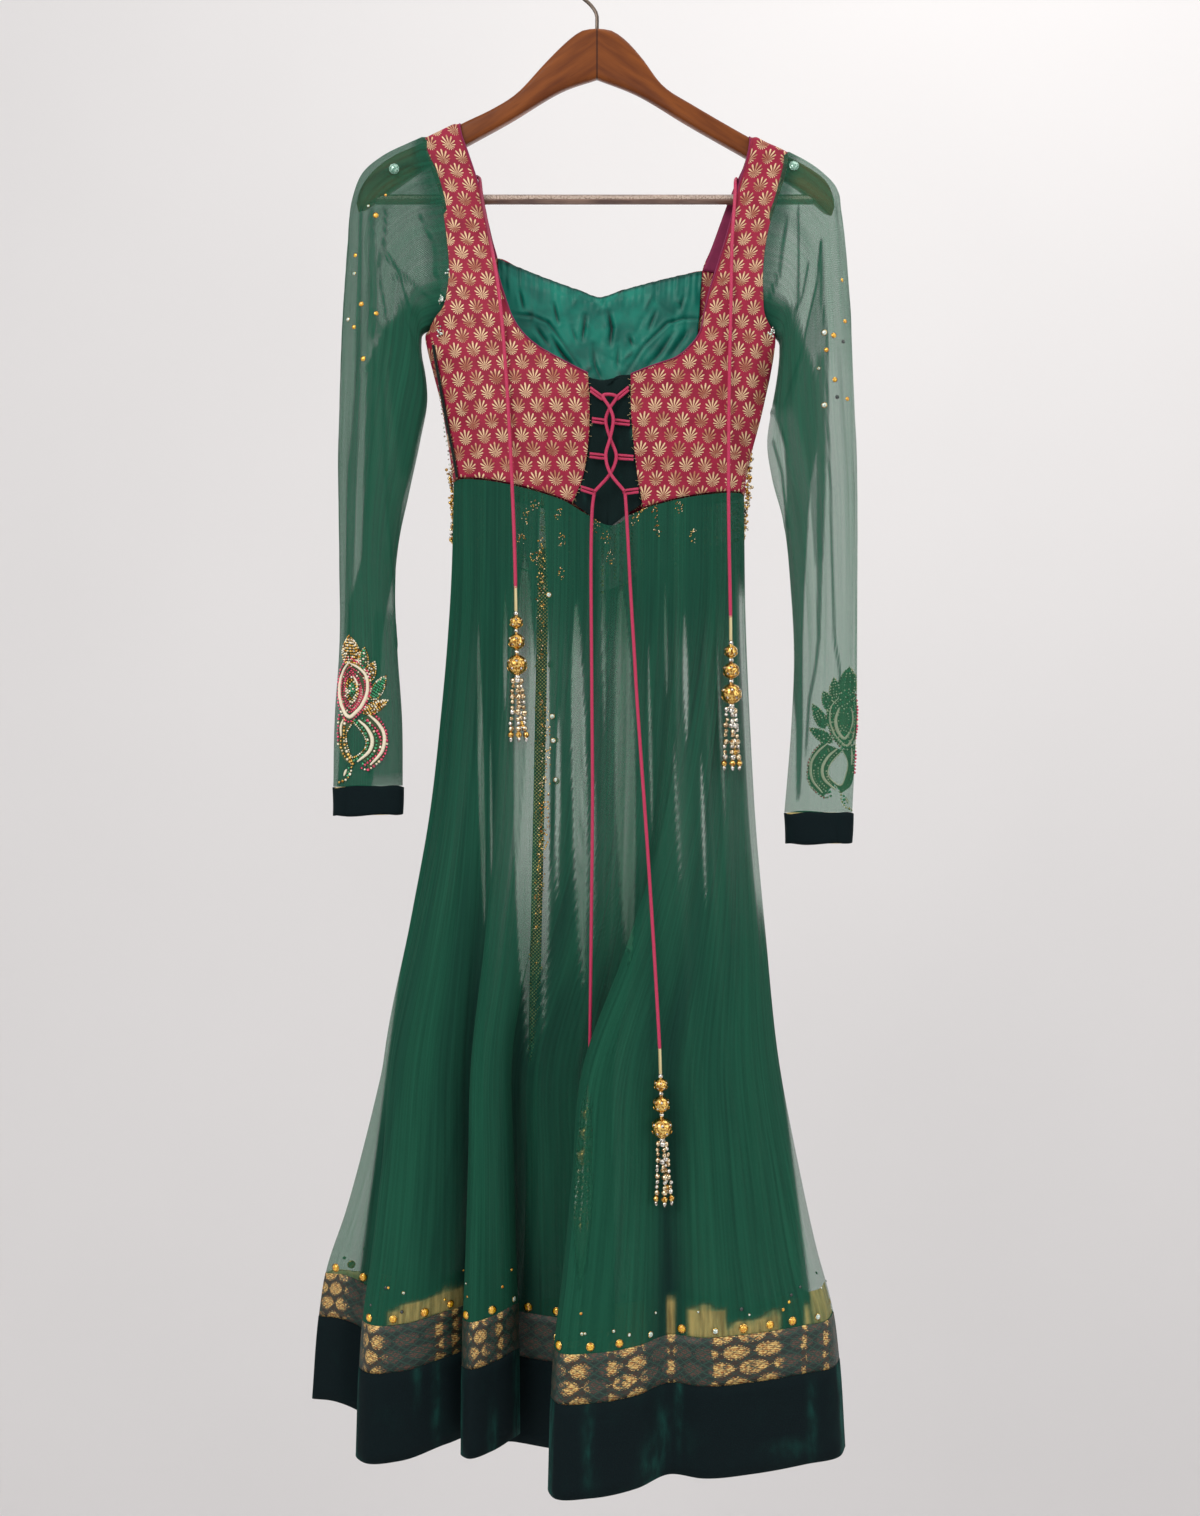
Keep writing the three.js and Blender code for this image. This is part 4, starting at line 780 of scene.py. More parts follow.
VELVET = velvet("green_velvet", dye(11, 21, 25), dye(30, 92, 82), dye(24, 84, 78))
PLACKET_VELVET = velvet("placket_velvet", dye(14, 28, 28), dye(50, 104, 96), dye(40, 120, 104))
SATIN = satin("teal_satin", dye(0, 30, 28), dye(0, 84, 74), dye(8, 134, 114))
TISSUE = tissue("gold_tissue", dye(206, 164, 84), dye(255, 238, 170), metallic=0.1)
TURNED_TISSUE = tissue("turned_up_tissue", dye(120, 88, 34), dye(250, 212, 128), metallic=0.25)
BACKING = plain_cloth("magenta_backing", dye(98, 14, 52), dye(150, 36, 86), roughness=0.6)
PLAIN_CRIMSON = plain_cloth("plain_crimson", dye(112, 8, 38), dye(168, 26, 62), roughness=0.6)
ZIP_TAPE = plain_cloth("zip_tape", dye(14, 24, 20), dye(40, 52, 46))


# %% [markdown]
# ## Cord, thread, beads and stones
# The cords are satin, laid from two strands, so their surface is a helix. The beads are plated. The
# stones are foiled glass, bright even on dark net, so a little metal is mixed into clear glass.

# %% Small hard finishes
def cord_finish(name, deep, bright):
    finish = Finish(name, deep, Roughness=0.42, Specular_IOR_Level=0.5, Sheen_Weight=0.35,
                    Sheen_Roughness=0.35, Sheen_Tint=bright)
    x, y = finish.place()
    strands = (x * 0.75 + y * 0.55).wave(0.62)
    aside, _, height = finish.spot()
    # Painted shade: the cord is painted a darker crimson beside the strap, where it is out of the light.
    painted_strap_shade = height.above(-290, -262) * aside.below(-84, -70)        # beside the strap, out of the light
    silk = finish.blend(strands * 0.5 + finish.noise(2.5) * 0.5, deep, bright)
    finish.set(Base_Color=finish.blend(painted_strap_shade * 0.65, silk, dye(92, 10, 44)))
    return finish.relief(strands, 0.22, 0.8)


def plated(name, dull, bright, roughness=0.24, pits=0.6):
    finish = Finish(name, bright, Metallic=1.0, Roughness=roughness)
    tarnish = finish.solid_noise(1.6, detail=3)
    finish.set(Base_Color=finish.blend(tarnish.above(0.4, 0.6), bright, dull),
               Roughness=roughness + tarnish * 0.16)
    return finish.relief(finish.solid_noise(pits), 0.12, 0.6)


def stone(name, deep, bright):
    finish = Finish(name, bright, Metallic=0.35, Roughness=0.08, Specular_IOR_Level=0.8,
                    Coat_Weight=1.0, Coat_Roughness=0.03)
    cut = finish.solid_noise(1.1, detail=0)
    finish.set(Base_Color=finish.blend(cut.above(0.4, 0.6), deep, bright))
    return finish.done()


CORD = cord_finish("crimson_cord", dye(160, 20, 62), dye(222, 58, 106))
GOLD = plated("gold_beads", dye(150, 92, 26), dye(255, 216, 126), roughness=0.16)
PALE_GOLD = plated("pale_gold_beads", dye(150, 112, 66), dye(255, 240, 206), roughness=0.14)
SILVER = plated("silver_beads", dye(140, 130, 118), dye(252, 250, 242), roughness=0.14)
GOLD_THREAD = tissue("gold_thread", dye(176, 150, 92), dye(250, 236, 186), metallic=0.35)
AMBER = stone("amber_stones", dye(216, 130, 0), dye(255, 206, 40))
CLEAR = stone("clear_stones", dye(150, 178, 160), dye(236, 244, 236))
GREEN_GLASS = stone("green_glass", dye(96, 150, 128), dye(168, 208, 188))
DARK_STONE = stone("dark_stones", dye(8, 18, 16), dye(40, 60, 54))
CREAM_THREAD = plain_cloth("cream_thread", dye(216, 200, 164), dye(255, 248, 228), roughness=0.55)
RED_SEED = stone("red_seed_beads", dye(150, 10, 52), dye(255, 60, 116))
GREEN_SEED = stone("green_seed_beads", dye(0, 88, 56), dye(26, 176, 112))
PEARL_SEED = stone("pearl_seed_beads", dye(226, 206, 160), dye(255, 250, 232))
APPLIQUE = plain_cloth("applique_backing", dye(36, 62, 44), dye(84, 104, 68), thread=1.1)


def dotted_brocade():
    finish = Finish("dotted_brocade", Roughness=0.5, Specular_IOR_Level=0.4)
    x, y = finish.place()
    dots = ((x + y).wave(3.4) * (x - y).wave(3.4)).above(0.2, 0.42)
    gleam = finish.noise(7, stretch=2.5, detail=2).above(0.32, 0.56)
    gold = finish.blend(gleam, dye(150, 104, 44), dye(255, 220, 140))
    finish.set(Base_Color=finish.blend(dots, dye(16, 30, 20), gold), Metallic=dots * gleam * 0.6)
    return finish.relief(dots, 0.3, 0.8)


DOTTED = dotted_brocade()
print(len(bpy.data.materials), "finishes in all")
# %% [markdown]
# ## The skirt
# The front of the skirt is one wide sheet of net, gathered into the bodice, with a brocade and a
# velvet band round its foot. They hang as one cloth, so their grids are stacked, refined, and cut
# apart again. The frame gives the large folds. The gathers are added here: soft ridges and troughs
# that run down from the waist and die out at different heights.

# %% Stack the net, the band and the velvet of each face
CELLS_ACROSS, VELVET_CELLS, BAND_CELLS, NET_CELLS = 13, 8, 5, 11


def numbered(counts):
    """Where each refined row or column lies in the coarse grid."""
    return np.concatenate([*(i + np.arange(count) / count for i, count in enumerate(counts)), [len(counts)]])


def stacked(face):
    """One face of the skirt, refined, with its row and column numbers."""
    walls = [wall_grid(f"{part}_{face}") for part in ("hem_velvet", "hem_brocade", "skirt")]
    grid = np.concatenate([walls[0], walls[1][1:], walls[2][1:]])
    counts = [VELVET_CELLS, BAND_CELLS] + [NET_CELLS] * (len(grid) - 3)
    columns = numbered([CELLS_ACROSS] * (grid.shape[1] - 1))
    return refined(grid, counts, CELLS_ACROSS), numbered(counts), columns


def gathers(row, column, count, deepest, width, draw):
    """Ridges and troughs from the waist down, in metres."""
    down = 1 - row / row[-1]                      # 0 at the waist, 1 at the hem
    height = np.zeros((len(row), len(column)))
    for n in range(count):
        centre = (n + draw.uniform(0.1, 0.9)) * column[-1] / count
        drift = draw.uniform(-0.5, 0.5)
        reach = draw.choice([0.3, 0.45, 0.6, 0.9], p=[0.3, 0.3, 0.28, 0.12])
        start = draw.uniform(-0.2, 0.08)
        spread = width * draw.uniform(0.6, 1.5)
        size = deepest * draw.uniform(0.35, 1.0) * draw.choice([-1, 1], p=[0.35, 0.65])
        fade = eased(down, start - 0.05, start + 0.02) * (1 - eased(down, reach - 0.28, reach))
        line = centre + drift * down
        height += size * fade[:, None] * bell(column[None] - line[:, None], spread)
    return height


faces = {}
for face, seed, fine in (("front", 11, 58), ("back", 23, 44)):
    grid, row, column = stacked(face)
    draw = default_rng(seed)
    height = gathers(row, column, fine, 1.5 * MM, 0.20, draw)
    broad = gathers(row, column, fine // 4, 3.0 * MM, 0.6, draw)
    near_waist = 1 - 0.75 * eased(row, row[-1] - 1.2, row[-1])
    lift = (height + broad) * (near_waist * eased(row, 1.5, 3.5))[:, None]
    faces[face] = {"grid": pushed(grid, lift), "row": row, "column": column}
    print("skirt", face, grid.shape[:2], "points")


# %% How full the net is from place to place
# Long narrow places, pointed at both ends: x and z of the upper end, x and z of the lower end, and
# half the width, in millimetres. In the slivers the gathers part and one width of net shows.
SLIVERS = [
    (-66, -560, -62, -1030, 12), (-19, -600, -13, -960, 8), (5, -545, 7, -720, 2.6), (22, -585, 30, -930, 10),
    (80, -610, 82, -730, 3), (62, -580, 64, -690, 2), (-109, -620, -104, -900, 3.4), (-84, -590, -84, -700, 2.6),
    (-35, -700, -37, -880, 3), (95, -740, 100, -880, 2.4), (47, -640, 51, -820, 2.2), (-2, -760, -4, -930, 2.4),
    (110, -640, 118, -800, 1.8), (-98, -720, -97, -860, 1.8), (-47, -560, -46, -640, 2), (70, -730, 76, -860, 2),
]
OVER_STRIP, OVER_TASSEL = (-50, -500, -49, -1000, 7), (-9, -1040, -15, -1215, 9)
# Where the facing's gold shows above the band: (x, reach, the height it shows up to at
# its middle, and how steeply that height climbs to the right).
THIN_BANDS = [(-159, 37, -1240, 0.18), (67, 8, -1229, 0), (99, 22, -1235, 0), (143, 28, -1248, 0.19),
              (203, 17, -1242, 0.1)]


print(len(SLIVERS), "slivers, net thinned over the facing in", len(THIN_BANDS), "places")


def sliver(x, z, ends):
    """1 inside a long narrow shape between two places, pointed at both ends."""
    x_top, z_top, x_low, z_low, half = ends
    share = np.clip((z_top - z) / (z_top - z_low), 0, 1)
    width = half * np.sqrt(np.sin(pi * share))
    off = np.abs(x - x_top - share * (x_low - x_top))
    return (1 - eased(off, width - 0.9, width + 0.5)) * (width > 0.3)


# %% Layers of net at each point
def towards(layers, share, value):
    return layers * (1 - share) + value * share


def panels(place, down, count, draw):
    """The layers that folded widths of net add, with a firm line at each edge."""
    layers = np.zeros_like(place)
    for _ in range(count):
        middle = draw.uniform(-1, 1) + draw.normal(0, 0.05) * down
        half = draw.uniform(0.03, 0.13)
        reach = draw.uniform(0.45, 1.3)
        inside = half - np.abs(place - middle)
        fade = 1 - eased(down, reach - 0.15, reach)
        layers += fade * draw.uniform(0.7, 1.2) * eased(inside, -0.004, 0.004)
        layers += fade * 1.1 * bell(inside, 0.006)
    return layers


def fullness_of(name, face, draw):
    """Layers of net at each point of a face of the skirt."""
    x, z = in_mm(face["grid"])
    down = 1 - face["row"][:, None] / face["row"][-1]
    low, high = x.min(axis=1, keepdims=True), x.max(axis=1, keepdims=True)
    place = (2 * x - low - high) / (high - low)
    lower = 1 - eased(z, -1010, -800)
    if name == "front":
        flanks = 0.9 * (1 - eased(x, -104, -84)) + 0.7 * eased(x, 50, 72)
        layers = 3.1 + 0.3 * eased(z, -600, -520) + flanks + panels(place, down, 30, draw) + 1.8 * lower
        for ends in SLIVERS:
            layers = towards(layers, sliver(x, z, ends), 1.05)
        layers = towards(layers, sliver(x, z, OVER_STRIP), np.minimum(layers, 0.6))
        for middle, reach, top, climb in THIN_BANDS:
            top = top + climb * (x - middle) + 1.5 * np.sin(x * 0.21)
            bare = (1 - eased(np.abs(x - middle), reach - 5, reach)) * (1 - eased(z, top - 4, top + 3))
            layers = towards(layers, bare, 0.6)
        layers = towards(layers, sliver(x, z, OVER_TASSEL), 1.9)
    else:
        layers = 1.2 + 3.2 * eased(z, -660, -570) + 2.6 * lower + 0.7 * panels(place, down, 16, draw)
    left_edge, right_edge = -188 + (z + 981) * 0.139, 174 - (z + 1061) * 0.115
    for off, thin in ((left_edge - x, 1.3), (x - right_edge, 0.85)):
        below = 1 - eased(z, -880, -760)
        layers = towards(layers, eased(off, -1.5, 1.5) * below, thin) + 1.2 * bell(off, 2.0) * below
    return towards(layers, eased(x - high, -8.5, -6) * eased(-z, 560, 600) * eased(z, -940, -860), 1.0)


# %% Layers and shade of both faces
def recess_of(grid, reach=26, deep=14 * MM):
    """How far back each point lies between its neighbours, from 0 to 1."""
    depth = grid[..., 1] * (1 if grid[0, 0, 0] < grid[0, -1, 0] else -1)
    window = np.hanning(2 * reach + 1)
    window /= window.sum()
    padded = np.pad(depth, ((0, 0), (reach, reach)), mode="edge")
    usual = np.array([np.convolve(row, window, mode="valid") for row in padded])
    return eased(depth - usual, -0.4 * deep, deep)


for name, face in faces.items():
    face["layers"] = fullness_of(name, face, default_rng(17 if name == "front" else 19))
    face["shade"] = recess_of(face["grid"])
    print(name, "has", round(face["layers"].min(), 1), "to", round(face["layers"].max(), 1), "layers")

# %% Where the bands at the hem catch the light
# On the front's brocade band, the metal threads: (x, how far) in millimetres.
GLEAMS = [(-250, 14), (-205, 10), (-147, 4), (-133, 3), (-108, 8), (-90, 3), (-19, 12), (13, 4), (32, 12),
          (67, 4), (108, 4), (124, 12), (154, 14), (189, 3), (210, 3)]
# Spots of painted sheen on the velvet band, where it is painted lighter: x, z and half sizes, in millimetres.
PAINTED_SHEEN_SPOTS = [(-8, -1350, 4, 34), (48, -1385, 9, 26), (58, -1352, 6, 22), (74, -1310, 3, 44), (30, -1405, 22, 7),
           (196, -1352, 4, 34), (176, -1372, 18, 6), (-150, -1345, 3, 40), (-166, -1300, 3, 30), (-96, -1370, 4, 22)]
front, back = faces["front"], faces["back"]
x, z = in_mm(front["grid"])
front["gleam"] = sum(bell(x - middle, reach) for middle, reach in GLEAMS)
# Painted sheen on the velvet band: it is painted lighter where its folds turn side-on, and at the spots of painted
# sheen.
x_step = np.gradient(front["grid"], axis=1)
turned_away = np.abs(x_step[..., 1]) / np.maximum(norm(x_step, axis=2), 1e-9)
front["edge"] = eased(turned_away, 0.75, 0.98)
for x_at, z_at, wide, high in PAINTED_SHEEN_SPOTS:
    front["edge"] = np.maximum(front["edge"], 0.75 * bell(x - x_at, wide) * bell(z - z_at, high))
back["gleam"] = np.maximum(1.2 * (1 - eased(in_mm(back["grid"])[0], -226, -212)), back["shade"] < 0.2)
back["edge"] = np.zeros(back["grid"].shape[:2])
print(len(GLEAMS), "gleams,", len(PAINTED_SHEEN_SPOTS), "painted sheen spots")

# %% Cut each face into net, brocade band and velvet band
WIDTH_OF_COLUMN = 31 * MM     # net taken up between two neighbouring lines of the frame


def cut(face, low, high):
    """A face's part between two of the frame's rows, with its place."""
    chosen = (face["row"] >= low - 1e-6) & (face["row"] <= high + 1e-6)
    grid = face["grid"][chosen]
    along = laid_flat(grid)[..., 1]
    across = np.broadcast_to(face["column"] * WIDTH_OF_COLUMN, along.shape)
    return grid, np.stack([across, along], axis=-1), chosen


def thicken(cloth, thickness):
    """Gives a sheet its thickness, half to each side, with closed edges."""
    solidify = cloth.modifiers.new("thickness", "SOLIDIFY")
    solidify.thickness, solidify.offset = thickness, 0


print("bands of", *(cut(front, row, row + 1)[0].shape[:2] for row in (0, 1)), "points")


# %% [markdown]
# ## Measuring each sheet
# Each sheet is measured for the size of the cloth that shows, laid flat, and the size is printed. Its area
# comes from the modelled cloth, because hardly any of these cuts is a rectangle.

# %% Measure a sheet
def declare(piece, grid, keep=None, ring=False):
    """Prints a sheet's widest row, longest column, and area."""
    if ring:
        grid = closed(grid)
    right, upward = np.diff(grid, axis=1)[:-1], np.diff(grid, axis=0)[:, :-1]
    cells = norm(np.cross(right, upward), axis=2)
    area = float(cells[keep].sum() if keep is not None else cells.sum())
    lines = (norm(np.diff(grid, axis=axis), axis=2).sum(axis=axis) for axis in (1, 0))
    width, length = (max(0.01, round(float(line.max()), 3)) for line in lines)
    area = min(max(area, 0.31 * width * length), width * length)
    print(f"{piece.name}: {width:.3f} x {length:.3f} m, {area:.4f} m2")


def sewn(name, node, grid, finish, slot, rests_on, thickness=0, held="hung", measured=None, keep=None,
         ring=False, **on_points):
    cloth = Piece().patch(grid, ring=ring, keep=keep, **on_points).make(name, [finish], [node], slot)
    declare(cloth, grid if measured is None else measured, keep, ring)
    if thickness:
        thicken(cloth, thickness)
    return cloth


# %% Net, bands and velvet of the skirt
for name, face in faces.items():
    grid, place, chosen = cut(face, 2, face["row"][-1])
    above = ["bodice_front_left", "bodice_front_right"] if name == "front" else ["bodice_back"]
    sewn(f"skirt_net_{name}", f"skirt_{name}", grid, NET, "green_net", above, held="gathered", place=place,
         value=face["layers"][chosen], shade=face["shade"][chosen])
    grid, place, chosen = cut(face, 1, 2)
    sewn(f"brocade_band_{name}", f"hem_brocade_{name}", grid, HEM_BROCADE, "copper_brocade",
         [f"skirt_net_{name}"], 0.9 * MM, place=place, shade=face["gleam"][chosen])
    grid, place, chosen = cut(face, 0, 1)
    sewn(f"velvet_band_{name}", f"hem_velvet_{name}", grid, VELVET, "green_velvet",
         [f"brocade_band_{name}"], 1.6 * MM, place=place, shade=face["edge"][chosen])

# The gold facing is turned up behind the net and shows above the band here and there.
chosen = (front["row"] >= 1.99) & (front["row"] <= 3)
grid = front["grid"][chosen] - outward_of(front["grid"])[chosen] * 1.3 * MM
x, z = in_mm(grid[:-1, :-1])
keep = np.zeros(x.shape, dtype=bool)
for middle, reach, top, climb in THIN_BANDS:
    keep |= (np.abs(x - middle) < reach + 3) & (z < top + climb * (x - middle) + 7)
Piece().patch(grid, keep=keep).make("hem_facing_edge", [TURNED_TISSUE], slot="gold_tissue")

# %% [markdown]
# ## The bodice
# Two brocade fronts meet at the lacing, and run up as straps over the hanger to the back. The
# palmettes stand nearly upright and lean with the straps, so the place on the cloth comes from the
# height: it slides sideways slowly over the body and faster above the underarm. Each front has one
# long dart, and the cloth pulls in soft creases.

# %% Where the brocade leans, pulls and rounds off
BODY_LEAN, STRAP_LEAN, UNDERARM = 0.12, 0.17, -0.335
FRONT_CORNER, FRONT_ROWS = 4, 7     # the row where the edge turns into the neck, and rows to each row
DARTS = {"left": (-43.5 * MM, -0.410, -0.505), "right": (57.5 * MM, -0.412, -0.500)}


def brocade_place(grid, side):
    """The place on the brocade, with the pattern leaning out at the top."""
    x, z = grid[..., 0], grid[..., 2]
    rise = np.logaddexp(0, (z - UNDERARM) / (12 * MM)) * 12 * MM
    out = -1 if side == "left" else 1
    return np.stack([x - out * (BODY_LEAN * z + STRAP_LEAN * rise), z], axis=-1)


def soft_creases(grid, seed, count, deepest, spread, angle=0.35):
    """Shallow long creases at random places, in metres."""
    draw = default_rng(seed)
    flat = grid[..., (0, 2)]
    low, high = flat.min(axis=(0, 1)), flat.max(axis=(0, 1))
    height = np.zeros(grid.shape[:2])
    for _ in range(count):
        centre = draw.uniform(low, high)
        turn = draw.normal(0, angle)
        off = flat - centre
        along = off[..., 0] * sin(turn) + off[..., 1] * cos(turn)
        across = off[..., 0] * cos(turn) - off[..., 1] * sin(turn)
        size = deepest * draw.uniform(0.3, 1) * draw.choice([-1, 1])
        height += size * bell(along, spread * draw.uniform(2, 5)) * bell(across, spread * draw.uniform(0.6, 1.3))
    return height


def rounded_corners(grid):
    """The straps' inner corners over the hanger, rounded off."""
    for corner_x, corner_z in ((-127.5, -149), (142, -163)):
        x, z = in_mm(grid)
        near_top = eased(z, corner_z - 9, corner_z)
        grid[..., 2] -= 3.4 * MM * (1 - eased(np.abs(x - corner_x), 0, 8)) * near_top
    return grid


print("darts at", [round(dart[0] / MM, 1) for dart in DARTS.values()], "mm")

# %% Brocade fronts
front_grids = {}
for side, seed in (("left", 5), ("right", 6)):
    grid = refined(wall_grid(f"bodice_front_{side}"), FRONT_ROWS, 16, corner=FRONT_CORNER)
    lift = soft_creases(grid, seed, 26, 0.9 * MM, 7 * MM)
    x, z = grid[..., 0], grid[..., 2]
    dart_x, dart_top, dart_foot = DARTS[side]
    off_dart = x - dart_x - 0.04 * (z - dart_top)
    along_dart = eased(z, dart_foot - 0.01, dart_foot) * (1 - eased(z, dart_top - 0.01, dart_top + 0.002))
    lift = lift - 1.3 * MM * bell(off_dart, 1.1 * MM) * along_dart
    lift = lift + 0.8 * MM * bell(off_dart, 7 * MM) * along_dart
    front_grids[side] = grid = rounded_corners(pushed(grid, lift))
    sewn(f"brocade_front_{side}", f"bodice_front_{side}", grid, BROCADE, "crimson_brocade",
         [f"hanger_arm_{side}"], 1.1 * MM, place=brocade_place(grid, side))


# %% Brocade back
def filled(grid):
    """The grid, its missing points laid evenly along their row."""
    whole, steps = grid.copy(), np.arange(grid.shape[1])
    for row in whole:
        known = ~np.isnan(row[:, 0])
        for axis in range(3):
            row[:, axis] = np.interp(steps, steps[known], row[known, axis])
    return whole


BACK_ROWS, BACK_COLUMNS = 5, 8
coarse_back = wall_grid("bodice_back")
present = ~np.isnan(coarse_back[..., 0])
cells = present[:-1, :-1] & present[1:, :-1] & present[:-1, 1:] & present[1:, 1:]
keep = np.repeat(np.repeat(cells, BACK_ROWS, axis=0), BACK_COLUMNS, axis=1)
grid = refined(filled(coarse_back), BACK_ROWS, BACK_COLUMNS)
grid = rounded_corners(pushed(grid, soft_creases(grid, 8, 30, 1.0 * MM, 8 * MM)))
sewn("brocade_back", "bodice_back", grid, BROCADE, "crimson_brocade", ["hanger_arm_left", "hanger_arm_right"],
     1.1 * MM, keep=keep, place=np.stack([grid[..., 0] * -1, grid[..., 2]], axis=-1))

# %% [markdown]
# ## What shows inside the neck
# The back is lined with teal satin. Elastic draws its top edge up in puckers, two curved seams run
# down to the middle, and the spare satin falls in slanting creases. Each crease is a line with a
# depth and a width: the cloth sinks along it, and stands a little proud on both banks.

# %% How the lining creases
LINING_CREASES = [      # how deep, how wide, and the line's (x, z), in millimetres
    (1.5, 1.3, [(-80, -324), (-60, -326), (-46, -332), (-30, -354), (-9, -384)]),
    (1.5, 1.3, [(99, -329), (82, -328), (67, -332), (44, -354), (26, -382)]),
    (2.6, 1.7, [(-11, -325), (-14, -348)]), (3.2, 2.0, [(11, -322), (14, -337), (12, -352)]),
    (2.2, 1.5, [(-41, -314), (-37, -332)]), (2.0, 1.5, [(-73, -303), (-70, -319)]),
    (2.8, 2.2, [(-42, -347), (-32, -362), (-20, -376)]), (1.8, 1.8, [(-58, -336), (-47, -352)]),
    (1.4, 2.4, [(-66, -345), (-52, -362), (-34, -376)]), (1.8, 1.4, [(56, -321), (49, -338)]),
    (2.2, 1.6, [(31, -345), (33, -353)]), (1.5, 1.3, [(82, -308), (79, -320)]),
    (1.8, 2.2, [(72, -342), (60, -360), (47, -374)]), (1.3, 2.4, [(88, -338), (70, -362)]),
    (1.6, 1.8, [(-4, -352), (-2, -372), (4, -386)]), (1.5, 1.6, [(20, -356), (19, -374)]),
    (1.2, 1.5, [(-24, -336), (-20, -350)]), (1.2, 2.2, [(-90, -334), (-74, -352), (-62, -372)]),
]


def crease_depth(grid):
    """How far the lining sinks at each point, and its shade, 0 to 1."""
    flat = grid[..., (0, 2)] / MM
    sink, shaded = np.zeros(grid.shape[:2]), np.zeros(grid.shape[:2])
    for deep, wide, line in LINING_CREASES:
        line = np.array(line, dtype=float)
        nearest, fade = np.full(grid.shape[:2], np.inf), np.zeros(grid.shape[:2])
        for i, (a, b) in enumerate(zip(line, line[1:])):
            share = np.clip(((flat - a) @ (b - a)) / ((b - a) @ (b - a)), 0, 1)
            off = norm(flat - a - share[..., None] * (b - a), axis=-1)
            along = np.clip((i + share) / (len(line) - 1), 0.04, 0.96)
            fade = np.where(off < nearest, np.sin(pi * along), fade)
            nearest = np.minimum(off, nearest)
        sink += deep * np.sqrt(fade) * (bell(nearest, wide) - 0.35 * bell(nearest - 2.4 * wide, wide))
        shaded = np.maximum(shaded, deep / 3 * np.sqrt(fade) * bell(nearest, wide * 0.8))
    return sink * MM, np.minimum(shaded, 1)


print(len(LINING_CREASES), "creases in the lining")

# %% Teal satin lining
grid = refined(wall_grid("back_lining"), 9, 14)
up = np.linspace(0, 1, grid.shape[0])[:, None]
column = np.linspace(0, 10, grid.shape[1])
pucker = sum(np.sin(column * k + shift) for k, shift in ((9.1, 0.4), (13.7, 2.0), (21.3, 4.1)))
rumple = soft_creases(grid, 31, 120, 1.1 * MM, 2.6 * MM, 0.5)
lift = 0.45 * MM * pucker[None] * eased(up, 0.80, 0.97) + rumple
sink, shaded = crease_depth(grid)
shaded = np.maximum(np.minimum(1.25 * shaded, 1), 0.6 * eased(-rumple / MM, 0.25, 1.1))
edge_shade = 0.8 * eased(up, 0.975, 0.995) + 0.25 * eased(-pucker, 0.6, 2.2)[None] * eased(up, 0.85, 1)
proud = 3.2 * MM * eased(up, 0, 0.1) * (1 - eased(up, 0.9, 1))      # clear of the brocade behind
grid = pushed(grid, lift + sink - proud)
grid[..., 2] -= 14 * MM * (1 - eased(up, 0, 0.25))                  # it goes on down inside the fronts
sewn("satin_back_lining", "back_lining", grid, SATIN, "teal_satin", ["brocade_back"], 0.5 * MM,
     value=np.minimum(shaded + edge_shade, 1))

# %% Strap facings and zip
for side in SIDES:
    sewn(f"strap_facing_{side}", f"strap_lining_{side}", refined(wall_grid(f"strap_lining_{side}"), 8, 5),
         BACKING, "magenta_backing", ["brocade_back"], 0.6 * MM)

grid = refined(wall_grid("side_zip"), 10, 4)
tape = Piece().patch(grid).make("side_zip_tape", [ZIP_TAPE], ["side_zip"], "dark_zip")
coil, teeth = grid[:, 2] + outward_of(grid)[:, 2] * 0.8 * MM, Piece()
sweep(teeth, smooth_route(coil, 1.2 * MM), 0.7 * MM, around=6, lobes=1, twist=2600, lobe_depth=0.3)
teeth = teeth.make("side_zip_teeth", [ZIP_TAPE], slot="dark_zip")
declare(tape, grid)


# %% Piping round the neck and frayed threads at the opening
def frayed(piece, line, draw, count, longest, finish):
    for _ in range(count):
        start = line[draw.integers(0, len(line))]
        aim = draw.normal(0, 1, 3) * (1, 0.5, 0.6)
        aim /= norm(aim)
        size = longest * draw.uniform(0.4, 1)
        bend = draw.normal(0, 0.25, 3) * size
        hair = [start, start + aim * size * 0.5 + bend * 0.3, start + aim * size + bend]
        sweep(piece, smooth_route(np.array(hair), size / 5), 0.13 * MM, around=4, finish=finish)


trim = Piece()
neck, opening = slice(FRONT_CORNER * FRONT_ROWS, None), slice(0, FRONT_CORNER * FRONT_ROWS)
for side, inner, border in (("left", -1, slice(-7, None)), ("right", 0, slice(0, 7))):
    fold = front_grids[side] + outward_of(front_grids[side]) * 0.9 * MM
    strip = fold[neck, border]
    share = eased(strip[:, 3, 2], -0.34, -0.30)[:, None, None]          # it narrows to nothing below
    edge = strip[:, inner][:, None]
    trim.patch(edge + (strip - edge) * (0.15 + 0.85 * share), finish=2)
    sweep(trim, smooth_route(fold[neck, inner][::3], 2.5 * MM), 0.7 * MM, around=8)
    frayed(trim, fold[opening, inner], default_rng(41), 55, 3.4 * MM, 1)
trim.make("neck_piping", [BACKING, GOLD_THREAD, PLAIN_CRIMSON], slot="magenta_backing")


# %% [markdown]
# ## Sleeves and cuffs
# A sleeve is a tube of net, drawn over the hanger's end. Both of its sides show at once. A lapped
# seam and the folds from the shoulder make denser strips, where the net is fuller and stands in a
# ridge.

